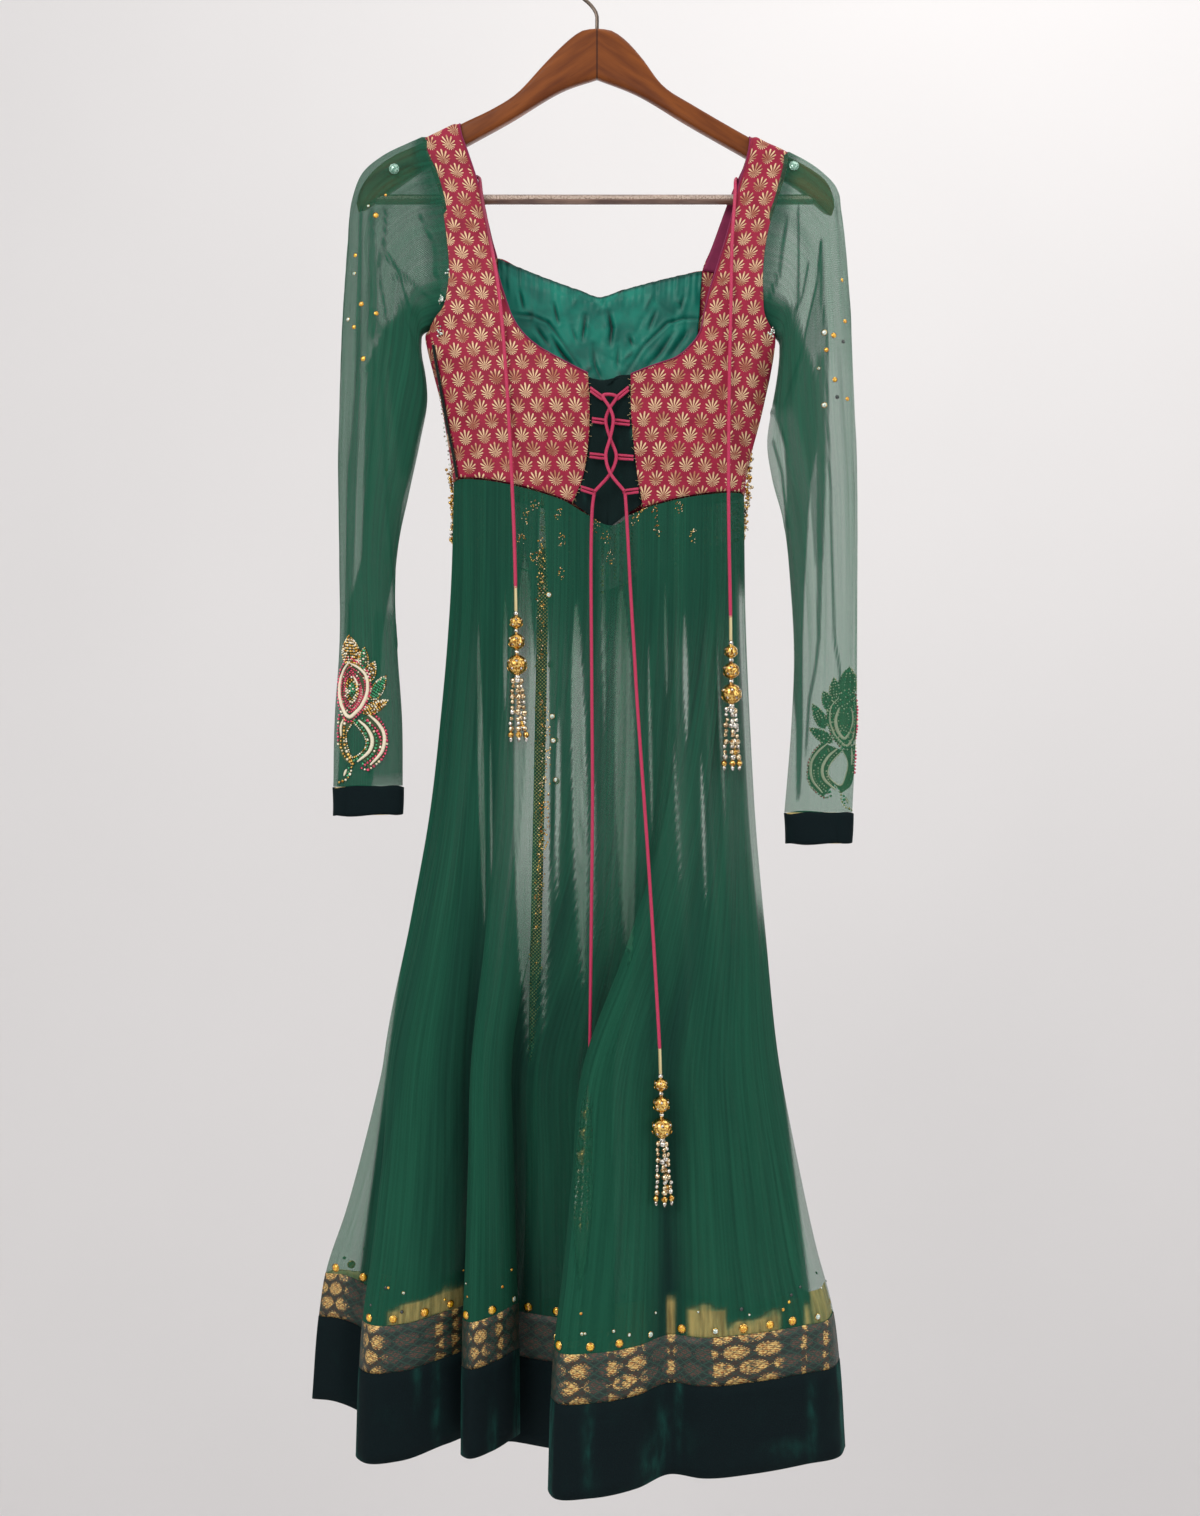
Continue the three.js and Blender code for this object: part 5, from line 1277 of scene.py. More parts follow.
# %% Where the sleeves' net is folded
# Folded widths on the front of each sleeve, as rows of (z, x, x) from the shoulder down, with the
# layers they add, and then the fold lines: (x, z) points. All are in millimetres.
SLEEVE_BASE = {"left": (1.85, 1.7), "right": (1.25, 1.0)}     # layers of each wall, high and low
SLEEVE_FOLDS = {
    "left": [
        (2.0, [(-235, -220, -217.5), (-340, -222.4, -218.7), (-406, -223.5, -219), (-473, -229.5, -222.4),
               (-561, -232.4, -225.7), (-640, -235, -229)]),
        (1.7, [(-235, -211, -207.5), (-340, -210.4, -202.5), (-352, -211, -190)]),
        (4.2, [(-326, -176, -146), (-345, -194, -138), (-380, -212, -150), (-400, -212, -157), (-428, -213, -163.7),
               (-473, -214.7, -172.6), (-506, -215.5, -181.4), (-561, -217.8, -189.2), (-602, -229, -195),
               (-631, -232, -199.5), (-661, -234, -201), (-700, -236, -204), (-775, -242, -210)]),
        (2.2, [(-610, -205, -188), (-660, -208, -180), (-760, -214, -178)]),
        (2.6, [(-308, -168, -146), (-322, -182, -140), (-350, -190, -138), (-385, -192, -150), (-440, -186, -166),
               (-480, -182, -176)]),
    ],
    "right": [
        (3.7, [(-326, 150, 178), (-345, 148, 184), (-372, 152, 196), (-395, 160, 203), (-455, 174, 203),
               (-491, 176.5, 197), (-539, 177.6, 194.4), (-587, 178.8, 192), (-635, 181.2, 190.8),
               (-718, 186, 190.8), (-776, 186, 189)]),
        (2.2, [(-318, 148, 172), (-330, 146, 184), (-350, 146, 190), (-385, 156, 186), (-420, 168, 180)]),
        (1.2, [(-265, 207, 208.5), (-303, 204, 210), (-342, 195, 211.5), (-372, 188, 212), (-400, 176, 212.5),
               (-470, 196, 212), (-560, 202, 209)]),
        (2.6, [(-372, 203, 209.5), (-455, 203.5, 210.5), (-560, 204, 208.5), (-635, 204, 206.5), (-658, 202, 204),
               (-690, 196, 198), (-735, 193.5, 195)]),
    ],
}
FOLD_LINES = {
    "left": [
        [(-195.6, -234), (-196.6, -257), (-198.4, -273), (-202, -282), (-201, -303), (-197.5, -321), (-194, -340),
         (-197, -368), (-199.4, -384), (-198.4, -406), (-197, -439), (-194.7, -495), (-191.4, -561), (-188, -640)],
        [(-197.5, -273), (-188.3, -284), (-182.7, -297), (-177, -318), (-171.6, -331)],
        [(-197.5, -279), (-181, -294), (-162, -312), (-150, -322)],
        [(-164, -242), (-151, -268), (-149.5, -294), (-144, -308)],
        [(-190, -300), (-183, -298), (-176, -303)], [(-207, -330), (-206, -380), (-208, -450), (-213, -520)],
    ],
    "right": [
        [(186.5, -235), (187, -280), (186, -329)],
        [(207.7, -265), (204, -303), (194.8, -342), (188, -372), (174, -417)],
        [(207.7, -265), (207.7, -322), (212.3, -357), (213.2, -432), (216, -500), (220, -635), (224.4, -660),
         (225.6, -676)],
        [(176, -240), (170, -290), (158, -322)], [(196, -285), (190, -318), (182, -330)],
        [(150, -400), (166, -425), (176, -455)], [(164, -450), (172, -480), (178, -530)],
    ],
}


print("folds:", {side: len(SLEEVE_FOLDS[side]) + len(FOLD_LINES[side]) for side in SIDES})


# %% A sleeve's cloth, and how full its net is
def to_lines(x, z, line):
    """How far each place is from a line, in millimetres."""
    nearest = np.full(x.shape, np.inf)
    for (xa, za), (xb, zb) in zip(line, line[1:]):
        share = np.clip(((x - xa) * (xb - xa) + (z - za) * (zb - za)) / ((xb - xa)**2 + (zb - za)**2), 0, 1)
        nearest = np.minimum(nearest, np.hypot(x - xa - share * (xb - xa), z - za - share * (zb - za)))
    return nearest


def sleeve_cloth(side, seed):
    """The refined sleeve, and how full the net is at each point."""
    grid = refined(wall_grid(f"sleeve_{side}"), 9, 9, ring=True)
    rows, columns = grid.shape[:2]
    up = np.linspace(0, 1, rows)[:, None]
    at = (np.arange(columns) / columns)[None]
    x, z = in_mm(grid)
    front = grid[..., 1] < grid[..., 1].mean(axis=1, keepdims=True)
    high, low = SLEEVE_BASE[side]
    layers = low + (high - low) * eased(z, -400, -320)
    lift = np.zeros((rows, columns))
    for added, shape in SLEEVE_FOLDS[side]:
        shape = np.array(shape[::-1], dtype=float)
        left, right = (np.interp(z, shape[:, 0], shape[:, k]) for k in (1, 2))
        inside = np.minimum(x - left, right - x)
        ends = eased(z, shape[0, 0] - 8, shape[0, 0] + 4) * (1 - eased(z, shape[-1, 0] - 6, shape[-1, 0] + 6))
        layers += front * ends * (added * eased(inside, -0.8, 0.8) + 0.6 * bell(inside, 0.9))
    for line in FOLD_LINES[side]:
        off = to_lines(x, z, line)
        layers += front * 3.2 * bell(off, 0.9)
        lift += front * 1.0 * MM * bell(off, 2.2)
    draw = default_rng(seed)
    for _ in range(30):
        off = (at - draw.uniform() - draw.normal(0, 0.12) * (1 - up) + 0.5) % 1 - 0.5
        top = draw.uniform(0.3, 1.1)
        fade = eased(up, top - draw.uniform(0.3, 0.8), top - 0.1) * (1 - eased(up, top, top + 0.06))
        ridge = bell(off, draw.uniform(0.006, 0.016)) * fade
        size = draw.uniform(0.4, 1.0)
        lift += size * 1.3 * MM * ridge
        layers += 0.5 * size * ridge
    layers = layers * (1 + 0.9 * eased(up, 0.93, 1.0))
    hold = eased(up, 0.0, 0.04) * (1 - 0.6 * eased(up, 0.97, 1))
    grid = pushed(grid, lift * hold, ring=True)
    # The seam allowance goes on under the brocade, towards the body and the middle of the tube.
    rim = grid[-1]
    inward = np.array([1 if side == "left" else -1, 0, 0]) * 5.5 * MM
    turned_in = rim + inward + (rim.mean(axis=0) - rim) * (0, 0.03, 0)
    grid = np.concatenate([grid, (rim + turned_in)[None] / 2, turned_in[None]])
    return grid, np.concatenate([layers, layers[-1:], layers[-1:]])


# %% Net sleeves with velvet cuffs
sleeves = {}
for side, seed, seam_at in (("left", 51, 2.6), ("right", 52, 3.6)):
    sleeves[side], layers = sleeve_cloth(side, seed)
    sewn(f"net_sleeve_{side}", f"sleeve_{side}", sleeves[side], NET, "green_net",
         [f"hanger_arm_{side}", f"brocade_front_{side}"], ring=True, value=closed(layers))
    grid = refined(wall_grid(f"cuff_{side}"), 7, 8, ring=True)
    round_it = 2 * pi * np.arange(grid.shape[1]) / grid.shape[1]
    share = np.linspace(-1, 1, grid.shape[0])[:, None]
    grid[..., 2] += MM * (0.8 * np.sin(round_it * 2 + 1) + 0.5 * np.sin(round_it * 5) * share
                          + 0.9 * share * np.cos(round_it * 2) * (share < 0))
    grid = pushed(grid, 0.7 * MM * np.sin(round_it * 3 + share), ring=True)
    grid = pushed(grid, -0.8 * MM * bell(round_it - seam_at, 0.05) * (1 + 0 * share), ring=True)
    sewn(f"velvet_cuff_{side}", f"cuff_{side}", grid, VELVET, "green_velvet",
         [f"net_sleeve_{side}"], 1.8 * MM, ring=True)
    sewn(f"cuff_lining_{side}", f"cuff_facing_{side}",
         refined(wall_grid(f"cuff_facing_{side}"), 5, 6, ring=True), TISSUE, "gold_tissue",
         [f"velvet_cuff_{side}"], 0.5 * MM, ring=True)

# %% [markdown]
# ## The laced front
# A velvet placket closes the gap between the fronts. Doubled loops of cord are sewn to each edge,
# and one lace is threaded through them in crosses: its two halves change sides at each tip.

# %% Where the loops stand
LOOP_WIDE, LACE_WIDE, PAIR, INSET = 2.4, 3.0, 1.5, 1.4        # all in millimetres
LOOP_Y, UNDER_Y, OVER_Y = -41.5, -44.8, -48.4
LOOPS = [       # for each side (the edge's x, the height at the edge, the tip's x), and the tips' height
    {"left": (-7.6, -409, 5.5), "right": (30.2, -408.5, 17.5), "tip_z": -416.5},
    {"left": (-5.9, -437, 8), "right": (31.2, -440, 14.8), "tip_z": -438.5},
    {"left": (-8, -469, 8), "right": (34.6, -471.5, 17.5), "tip_z": -470.5},
    {"left": (-16, -499, -2), "right": (39.2, -501, 24.5), "tip_z": -502.5},
]
print(len(LOOPS), "pairs of loops")

# %% Velvet placket
grid = refined(filled(wall_grid("lacing_placket")), 9, 14)
across, height = np.linspace(-1, 1, grid.shape[1])[None], np.linspace(0, 1, grid.shape[0])[:, None]
rumple = soft_creases(grid, 61, 34, 1.1 * MM, 3 * MM)
# Its top edge sags between the fronts.
grid[..., 2] -= eased(height, 0.8, 1) * MM * (9 + 11 * bell(grid[..., 0] / MM - 5, 9))
# Painted sheen: the placket's velvet is painted lighter along its raised creases.
sewn("velvet_placket", "lacing_placket", pushed(grid, -1.2 * MM * bell(across - 0.05, 0.10) + rumple),
     PLACKET_VELVET, "green_velvet", ["brocade_front_left", "brocade_front_right"], 1.1 * MM,
     measured=grid, shade=eased(rumple / MM, 0.2, 1.2))


# %% Loops and lace
def corded(name, node, route, step, wide, around):
    """A cord along a route, in millimetres."""
    cord = Piece()
    sweep(cord, smooth_route(np.array(route) * MM, step * MM), wide / 2 * MM, around=around)
    return cord.make(name, [CORD], [node], "crimson_cord")


for n, row in enumerate(LOOPS, 1):
    for side, inset in (("left", INSET), ("right", -INSET)):
        edge, edge_z, tip = row[side]
        start, tip_z = edge + inset, row["tip_z"]
        bend = tip + 0.12 * (start - tip)
        corded(f"cord_loop_{side}_{n}", f"lace_loop_{side}_{n}",
               [(start, LOOP_Y, edge_z + PAIR), (bend, LOOP_Y, tip_z + PAIR), (tip, LOOP_Y, tip_z),
                (bend, LOOP_Y, tip_z - PAIR), (start, LOOP_Y, edge_z - PAIR)], 0.8, LOOP_WIDE, 10)


def threaded_half(order, y):
    """Half of the lace, from its top loop down, changing sides at each crossing."""
    route = []
    for side, row, below in zip(order * 2, LOOPS, LOOPS[1:] + [None]):
        route.append((row[side][2], y, row["tip_z"]))
        if below:
            middle = (row["left"][2] + row["right"][2] + below["left"][2] + below["right"][2]) / 4
            route.append((middle, y, (row["tip_z"] + below["tip_z"]) / 2))
    return route


corded("front_lace", "lace_threaded", threaded_half(SIDES[::-1], UNDER_Y)[::-1] + threaded_half(SIDES, OVER_Y),
       1.2, LACE_WIDE, 12)

# %% [markdown]
# ## Cords and tassels
# Each hanging cord is a swept tube. Its tassel starts with gold thread bound round the cord's end.
# Below come three gold balls that grow in size, with silver beads between them, and then strands of
# small beads that end in a drop.

# %% What a tassel is made of
# Down a tassel: where the middle of each bead is below the cord, and its radius, in millimetres.
SILVER_BEADS, GOLD_BALLS = {23.2: 2.5, 38.9: 2.5, 58: 2.5, 80.5: 3.0}, {31: 6.1, 48.5: 7.5, 69.5: 9.4}
STRANDS = [(-8.0, 1.2, 55), (0.4, -3.0, 58), (7.6, 1.6, 53), (3.0, 2.5, 44)]     # (x, y) of the foot and length
STUDS_ROUND, STUD_ROWS = 6, (-0.42, 0.38)
DROP_PROFILE = [(0.2, 0), (1.6, -1.0), (1.9, -2.4), (1.3, -4.2), (0.3, -5.2)]


def tassel_down(name):
    """The way a tassel hangs: nearly straight down, leaning to its foot."""
    lean = (CORDS[name][1] - ROUTES[name][-1][0]) / 137
    return np.array([lean, 0, -sqrt(1 - lean**2)])


def studded_ball(piece, centre, radius, axis):
    """A gold ball with two rows of silver studs, each in a ring of wire."""
    bead(piece, centre, radius * MM, 0, 18, steps=12, axis=axis)
    for n, height in enumerate(STUD_ROWS):
        for k in range(STUDS_ROUND):
            angle = 2 * pi * (k + 0.5 * n) / STUDS_ROUND
            out = np.array([cos(angle) * cos(height), sin(angle) * cos(height),
                            sin(height)])
            spot = centre + out * radius * MM * 0.97
            bead(piece, spot, radius * 0.16 * MM, 1, 8, squash=0.6, steps=5, axis=out)
            side = np.cross(out, (0, 0, 1))
            length = max(norm(side), 1e-6)
            ring = [spot + out * 0.1 * MM + radius * 0.22 * MM * (
                cos(t) * side / length + sin(t) * np.cross(out, side) / length)
                for t in np.linspace(0, 2 * pi, 9)]
            sweep(piece, ring, 0.28 * MM, around=4, finish=0)


print(len(GOLD_BALLS), "gold balls,", len(STRANDS), "strands")


# %% One tassel
def tassel_piece(name, seed):
    head, down = np.array(ROUTES[name][-1]) * MM, tassel_down(name)
    draw = default_rng(seed)
    piece = Piece()
    bound = [head + down * d * MM for d in (-1.5, 0, 4, 9, 14, 18.5, 21)]
    sweep(piece, smooth_route(np.array(bound), 0.9 * MM), 1.45 * MM, around=10, finish=2,
          lobes=1, twist=4200, lobe_depth=0.07)
    for drop in sorted({**SILVER_BEADS, **GOLD_BALLS}):
        centre = head + down * drop * MM
        if drop in GOLD_BALLS:
            studded_ball(piece, centre, GOLD_BALLS[drop], -down)
        else:
            bead(piece, centre, SILVER_BEADS[drop] * MM, 1, 18, steps=12, axis=-down)
    for foot_x, foot_y, long in STRANDS:
        top = head + down * 81 * MM + np.array([foot_x, foot_y, 0]) * 0.45 * MM
        aim = down + np.array([foot_x / long, foot_y / long, 0]) * 0.45
        aim /= norm(aim)
        travelled, n = 0.0, 0
        while travelled < long - 9:
            radius = 2.1 if n % 3 else 2.9
            travelled += radius
            centre = top + aim * travelled * MM + draw.normal(0, 0.5, 3) * MM
            bead(piece, centre, radius * MM, int(draw.choice([1, 3, 3])), 10, steps=7, axis=-down)
            travelled += radius + 0.1
            n += 1
        tip = top + aim * (travelled + 2.6) * MM
        bead(piece, tip, 3.0 * MM, 0, 12, steps=8, axis=-down)
        turned(piece, [(r * MM, h * MM) for r, h in DROP_PROFILE], tip + down * 1.6 * MM, -down, 10, 1)
    node = CORDS[name][0]
    return piece.make(f"beads_{node}", [GOLD, SILVER, GOLD_THREAD, PALE_GOLD], [node], "beadwork")


# %% Hang the cords with their tassels
for seed, (name, path) in enumerate(cord_paths.items(), 71):
    diameter = CORDS[name][2] * MM
    inside = np.array([path[-1] + tassel_down(name) * d * MM for d in range(3, 84, 4)])
    whole = np.vstack([path, inside])
    slim = np.interp(np.arange(len(whole)), [len(path) - 3, len(path) + 1], [diameter / 2, 1.2 * MM])
    piece = Piece()
    sweep(piece, whole, slim, around=12)
    hanging = piece.make(f"{name}_cord", [CORD], [name], "crimson_cord")
    round(length_of(whole), 3)
    tassel_piece(name, seed)
    print(name, round(length_of(whole), 3), "m with the part inside its beads")

# %% [markdown]
# ## Beadwork on the sleeves
# Low on each sleeve sits an appliqué: a pointed bud with leaves over a curl of crescents, outlined
# in couched cream thread and filled with seed beads. It is drawn flat, in millimetres, and laid on
# the sleeve by a chart: so far round, so far up. On the right sleeve it sits behind, so its wrong
# side shows through the net: the backing, and the pale threads that hold the beads.

# %% Seed beads
KINDS = {"gold": 0, "cream": 1, "red": 2, "green": 3}
CLOTH, PEARL = 4, 6
mixed = default_rng(83)


def seed_bead(piece, place, away, radius, finish, around=5, squash=0.6, steps=4):
    """A small bead or sequin of a radius in millimetres, with its hole along `away`."""
    bead(piece, place, radius * MM, finish, around, squash, steps, away)


def flat_route(line, step):
    return smooth_route(np.array([(x, z, 0) for x, z in line], dtype=float), step)[:, :2]


print("work in", *KINDS, "and pearl")


# %% The chart
class SleeveWork:
    def __init__(self, side, x, z, half):
        ring = sleeves[side]
        self.piece = Piece()
        self.wide = np.concatenate([ring, ring, ring], axis=1)
        self.normals = outward_of(self.wide)
        centre = ring.mean(axis=1)
        row = int(np.argmin(np.abs(centre[:, 2] - z * MM)))
        facing = (ring[row, :, 1] < centre[row, 1]) == (half == "front")
        column = int(np.argmin(np.where(facing, np.abs(ring[row, :, 0] - x * MM), 9))) + ring.shape[1]
        self.up = run_along(self.wide[:, column])
        self.up -= self.up[row]
        steps = norm(np.diff(self.wide, axis=1), axis=2)
        self.across = np.concatenate([np.zeros((len(steps), 1)), np.cumsum(steps, axis=1)], axis=1)
        self.across -= self.across[:, column:column + 1]
        print(side, "sleeve's chart is", round(self.up[-1] - self.up[0], 3), "m high")

    def lay(self, drawing, lift):
        """Points in space for a drawing's points, `lift` millimetres proud."""
        laid = []
        for across, up in drawing.reshape(-1, 2) * MM:
            r = np.interp(up, self.up, np.arange(len(self.up)))
            c = np.interp(across, self.across[round(r)], np.arange(self.wide.shape[1]))
            i, j = min(int(r), len(self.up) - 2), int(c)
            s, t = r - i, c - j
            shares = {(i, j): (1 - s) * (1 - t), (i, j + 1): (1 - s) * t, (i + 1, j): s * (1 - t),
                      (i + 1, j + 1): s * t}
            point, away = (sum(w * of[k] for k, w in shares.items()) for of in (self.wide, self.normals))
            laid.append(point + away * lift * MM)
        return np.array(laid).reshape(*drawing.shape[:-1], 3)

    def spots(self, line, step, lift):
        """A place at every step along a line, and the way out of the cloth."""
        route = flat_route(line, step)
        toward = 1 if lift > 0 else -1
        return [(at, above - at) for at, above in zip(self.lay(route, lift), self.lay(route, lift + toward))]

    def beads(self, line, kind, radius=0.95, lift=0.9):
        """Seed beads along a line of the drawing, with a pearl one here and there."""
        for at, away in self.spots(line, 2.5 * radius, lift):
            finish = PEARL if mixed.uniform() < (0.45 if kind == "gold" else 0.16) else KINDS[kind]
            seed_bead(self.piece, at, away, 1.12 * radius * mixed.uniform(0.75, 1.2), finish, 7, 0.85, 5)

    def beads_through(self, line, finishes, radius):
        """Beads along a line as they show on the wrong side."""
        for at, away in self.spots(line, 2.7, -0.8):
            seed_bead(self.piece, at, away, radius * mixed.uniform(0.6, 1.2), int(mixed.choice(finishes)), 6)

    def thread(self, line, width, lift=0.9):
        """Padded thread couched along a line, thickest at its middle."""
        route = flat_route(line, 1.5)
        swell = np.sqrt(np.sin(pi * np.linspace(0.06, 0.94, len(route))))
        sweep(self.piece, self.lay(route, lift), width / 2 * swell * MM, around=8, finish=KINDS["cream"],
              lobes=1, twist=2500, lobe_depth=0.05)

    def cloth(self, line_a, line_b, lift):
        """A patch of cloth between two edges of the drawing."""
        lines = [flat_route(line, 3) for line in (line_a, line_b)]
        even = np.linspace(0, 1, max(map(len, lines)))
        a, b = (np.array([np.interp(even, np.linspace(0, 1, len(line)), line[:, k]) for k in (0, 1)]).T
                for line in lines)
        across = np.linspace(0, 1, 7)[None, :, None]
        self.piece.patch(self.lay(a[:, None] * (1 - across) + b[:, None] * across, lift), finish=CLOTH)


# %% The appliqué's drawing, in millimetres from its middle
BUD = [(-12, 44), (-17, 38), (-21, 28), (-21.5, 15), (-18.5, 4), (-11.5, -5), (-4, 0.5), (1.5, 8),
       (5.5, 20), (4.5, 33), (-2, 40), (-12, 44)]
HEART = [(-10, 37), (-15.5, 30), (-17, 19), (-14.5, 8), (-9, 2), (-2.5, 9), (0, 20), (-3, 31), (-10, 37)]
LEAVES = [      # (foot, tip, half width, filling)
    ((-10, 41), (-12, 68), 9.6, "gold"), ((0.5, 39), (2.5, 60), 4.8, "green"),
    ((4.5, 29), (12, 48.5), 5.0, "gold"), ((9.5, 12.5), (22, 36.5), 5.2, "green"), ((2.5, -1), (24, 13), 5.2, "gold"),
]
DROP = [(-7.5, -9), (-13, -19), (-13, -29), (-8, -42), (2, -36), (5, -29), (2, -20), (-7.5, -9)]
CURLS = [       # (kind, line) from the drop outwards
    ("green", [(-6, -8), (3, -17), (6.5, -29), (2.5, -39), (-6, -45)]),
    ("cream", [(-2.5, -7.5), (5.5, -14.5), (10.5, -25), (8, -36), (-3, -46)]),
    ("green", [(1, -6), (10, -14), (14.5, -25), (12, -37), (2, -48)]),
    ("red", [(6, -7.5), (15, -17), (18.5, -28), (15, -39), (4, -49)]),
    ("cream", [(7, -2), (16, -10), (21.5, -21), (19.5, -36), (9, -49)]),
    ("red", [(12, -1), (21, -12), (24, -27), (21, -41), (8, -53), (1, -52)]),
    ("cream", [(-16.5, -7), (-19.3, -14), (-19, -23)]),
    ("gold", [(-15, -8), (-16, -20), (-15, -31), (-11, -41), (-7, -48)]),
    ("gold", [(-19, -24), (-19, -33), (-14, -42), (-8, -48)]),
    ("red", [(-21.5, -4), (-22.5, -16), (-22, -30)]),
    ("cream", [(-13, -53), (-15.5, -59)]), ("green", [(-11, -52), (-12, -59)]),
    ("gold", [(-8.5, -48), (-9, -55), (-13, -62), (-20, -65)]),
]

print("one motif:", len(LEAVES), "leaves,", len(CURLS), "crescents")


# %% The outlines round the motif
def closer(line, share, centre=(-9, 20)):
    cx, cz = centre
    return [(cx + (x - cx) * share, cz + (z - cz) * share) for x, z in line]


def leaf_outline(foot, tip, half):
    foot, tip = np.array(foot, dtype=float), np.array(tip, dtype=float)
    t = np.linspace(0, 1, 9)[:, None]
    spine = foot + (tip - foot) * t
    side = np.array([-(tip - foot)[1], (tip - foot)[0]]) / norm(tip - foot)
    bulge = 2.5 * half * t**0.55 * (1 - t) ** 0.85
    return spine - side * bulge, spine + side * bulge


OUTER = closer(BUD, 1.19, (-8, 19))
BACKED = [(OUTER[:6][::-1], OUTER[5:]), (CURLS[9][1] + [(-18, -42), (-9, -49)], DROP[:5]),
          ([DROP[7], DROP[6], DROP[5], (-2, -40)], CURLS[5][1][:-1])]       # pairs of edges with cloth between

print(len(BACKED), "backed shapes")


# %% Work it on both sleeves
def applique(side, work):
    """The right side first, then the wrong side."""
    for edges in BACKED:
        work.cloth(*edges, 0.25)
    work.thread(BUD, 3.6)
    for line, kind, radius in ((OUTER, "red", 1.2), (closer(BUD, 0.83), "red", 0.9), (HEART, "red", 0.95),
                               (closer(HEART, 0.84), "red", 0.8), (closer(HEART, 0.66), "gold", 1.0),
                               (closer(HEART, 0.5), "gold", 1.0)):
        work.beads(line, kind, radius)
    work.thread([(-8, 33), (-4.5, 27), (-4, 22)], 2.0)
    for share in (0.3, 0.14):
        work.beads(closer(HEART, share), "green", 1.0, 1.3)
    for foot, tip, half, filling in LEAVES:
        left, right = leaf_outline(foot, tip, half)
        work.cloth(left, right, 0.25)
        rows = max(1, round(half / 2))
        for n in range(-rows, rows + 1):
            share = (n / rows + 1) / 2
            line = left * (1 - share) + right * share
            if abs(n) == rows:
                work.beads(line, "gold", 0.85, 0.8)
            else:
                work.beads(line[1:-1], filling, 1.0, 1.1)
    work.beads(DROP, "gold", 0.8)
    for kind, line in CURLS:
        if kind == "cream":
            work.thread(line, 3.5 if len(line) > 3 else 2.4)
        else:
            work.beads(line, kind, 1.25)

    for edges in BACKED:
        work.cloth(*edges, -0.35)
    for line, width in ((HEART[3:8], 3.4), (HEART[1:4], 1.6), (BUD[6:11], 1.2), (DROP, 1.2), (CURLS[1][1], 3.0),
                        (CURLS[4][1], 2.6), (CURLS[6][1], 2.0)):
        work.thread(line, width, -0.9)
    for share in (1.15, 1.02, 0.9, 0.75, 0.6, 0.45, 0.3):
        work.beads_through(closer(BUD, share), (1, 3, 3, 6), 0.85)
    for n in (0, 2, 3, 5, 9):
        work.beads_through(CURLS[n][1], (1, 3, 6), 0.85)
    for foot, tip, half, _ in LEAVES:
        left, right = leaf_outline(foot, tip, half)
        work.cloth(left, right, -0.3)
        for share in (0.05, 0.35, 0.65, 0.95):
            work.beads_through((left * (1 - share) + right * share)[1:-1], (1, 3, 6), 0.8)
    work.piece.make(f"applique_{side}_beads",
                    [GOLD, CREAM_THREAD, RED_SEED, GREEN_SEED, APPLIQUE, GOLD_THREAD, PEARL_SEED],
                    [f"applique_{side}"], "beadwork")


applique("left", SleeveWork("left", -218, -701, "front"))
applique("right", SleeveWork("right", 224, -730, "back"))

# %% [markdown]
# ## Stones, edge beads and the border at the back
# Glued stones lie on the sleeves, down the back and along the hem, each a low faceted dome in a thin
# gold rim. A stone's place is given as seen from the front. A ray sent through that place finds the
# cloth, so the stone sits on it and faces as it does.

# %% Send rays at the cloth
def cloth_tree(grid):
    return BVHTree.FromPolygons([tuple(p) for p in grid.reshape(-1, 3)],
                                quads_of(*grid.shape[:2]).reshape(-1, 4).tolist())


trees = {name: cloth_tree(face["grid"]) for name, face in faces.items()}
trees.update({side: cloth_tree(closed(sleeves[side])) for side in SIDES})


def spot_on(tree, x, z, from_back=False):
    """Where a level ray at (x, z) millimetres meets the cloth, and the way out."""
    way = Vector((0, -1 if from_back else 1, 0))
    place, normal, _, _ = trees[tree].ray_cast(Vector((x * MM, -way.y, z * MM)), way)
    if place is None:
        place, normal, _, _ = trees[tree].find_nearest(Vector((x * MM, 0, z * MM)))
    if normal.dot(way) > 0:
        normal = -normal
    return np.array(place), np.array(normal)


# %% Stones on the sleeves
STONES = [AMBER, CLEAR, DARK_STONE, GOLD, GREEN_GLASS]
RIM_GOLD, RIMLESS = 3, (2, 4)
DOME = ((0.94, -0.08), (0.96, 0.12), (0.80, 0.38), (0.46, 0.52), (0.02, 0.53))
RIM = ((0.9, -0.1), (1.12, -0.02), (1.14, 0.14), (0.95, 0.2))


def set_stone(piece, place, away, radius, finish):
    """A faceted dome in a rim."""
    for outline, around, with_finish in ((DOME, 8, finish), (RIM, 10, finish if finish in RIMLESS else RIM_GOLD)):
        turned(piece, [(radius * k * MM, radius * h * MM) for k, h in outline], place + away * 0.2 * MM, away,
               around, with_finish)


SLEEVE_STONES = {     # (x, z, radius, finish) in millimetres
    "left": [(-205, -241, 2.4, 0), (-224, -278, 1.8, 0), (-218, -324, 2.2, 0), (-204, -333, 2.0, 0),
             (-225, -345, 1.8, 0), (-216, -375, 2.2, 0), (-188, -198, 4.2, 4), (-225, -295, 1.6, 1),
             (-231, -337, 1.7, 1), (-212, -232, 1.2, 1), (-196, -222, 1.2, 0)],
    "right": [(183, -194, 4.2, 4), (210, -351, 2.4, 1), (210, -418, 2.4, 1), (219, -353, 2.3, 0),
              (212, -367, 2.0, 0), (220, -394, 2.2, 0), (227, -301, 1.8, 0), (230, -339, 1.8, 0),
              (232, -411, 1.8, 0), (228, -358, 1.6, 2), (222, -410, 1.7, 2), (205, -384, 1.4, 1)],
}
for side in SIDES:
    stones = Piece()
    for x, z, radius, finish in SLEEVE_STONES[side]:
        set_stone(stones, *spot_on(side, x, z), radius, finish)
    stones.make(f"sleeve_stones_{side}", STONES, slot="beadwork")

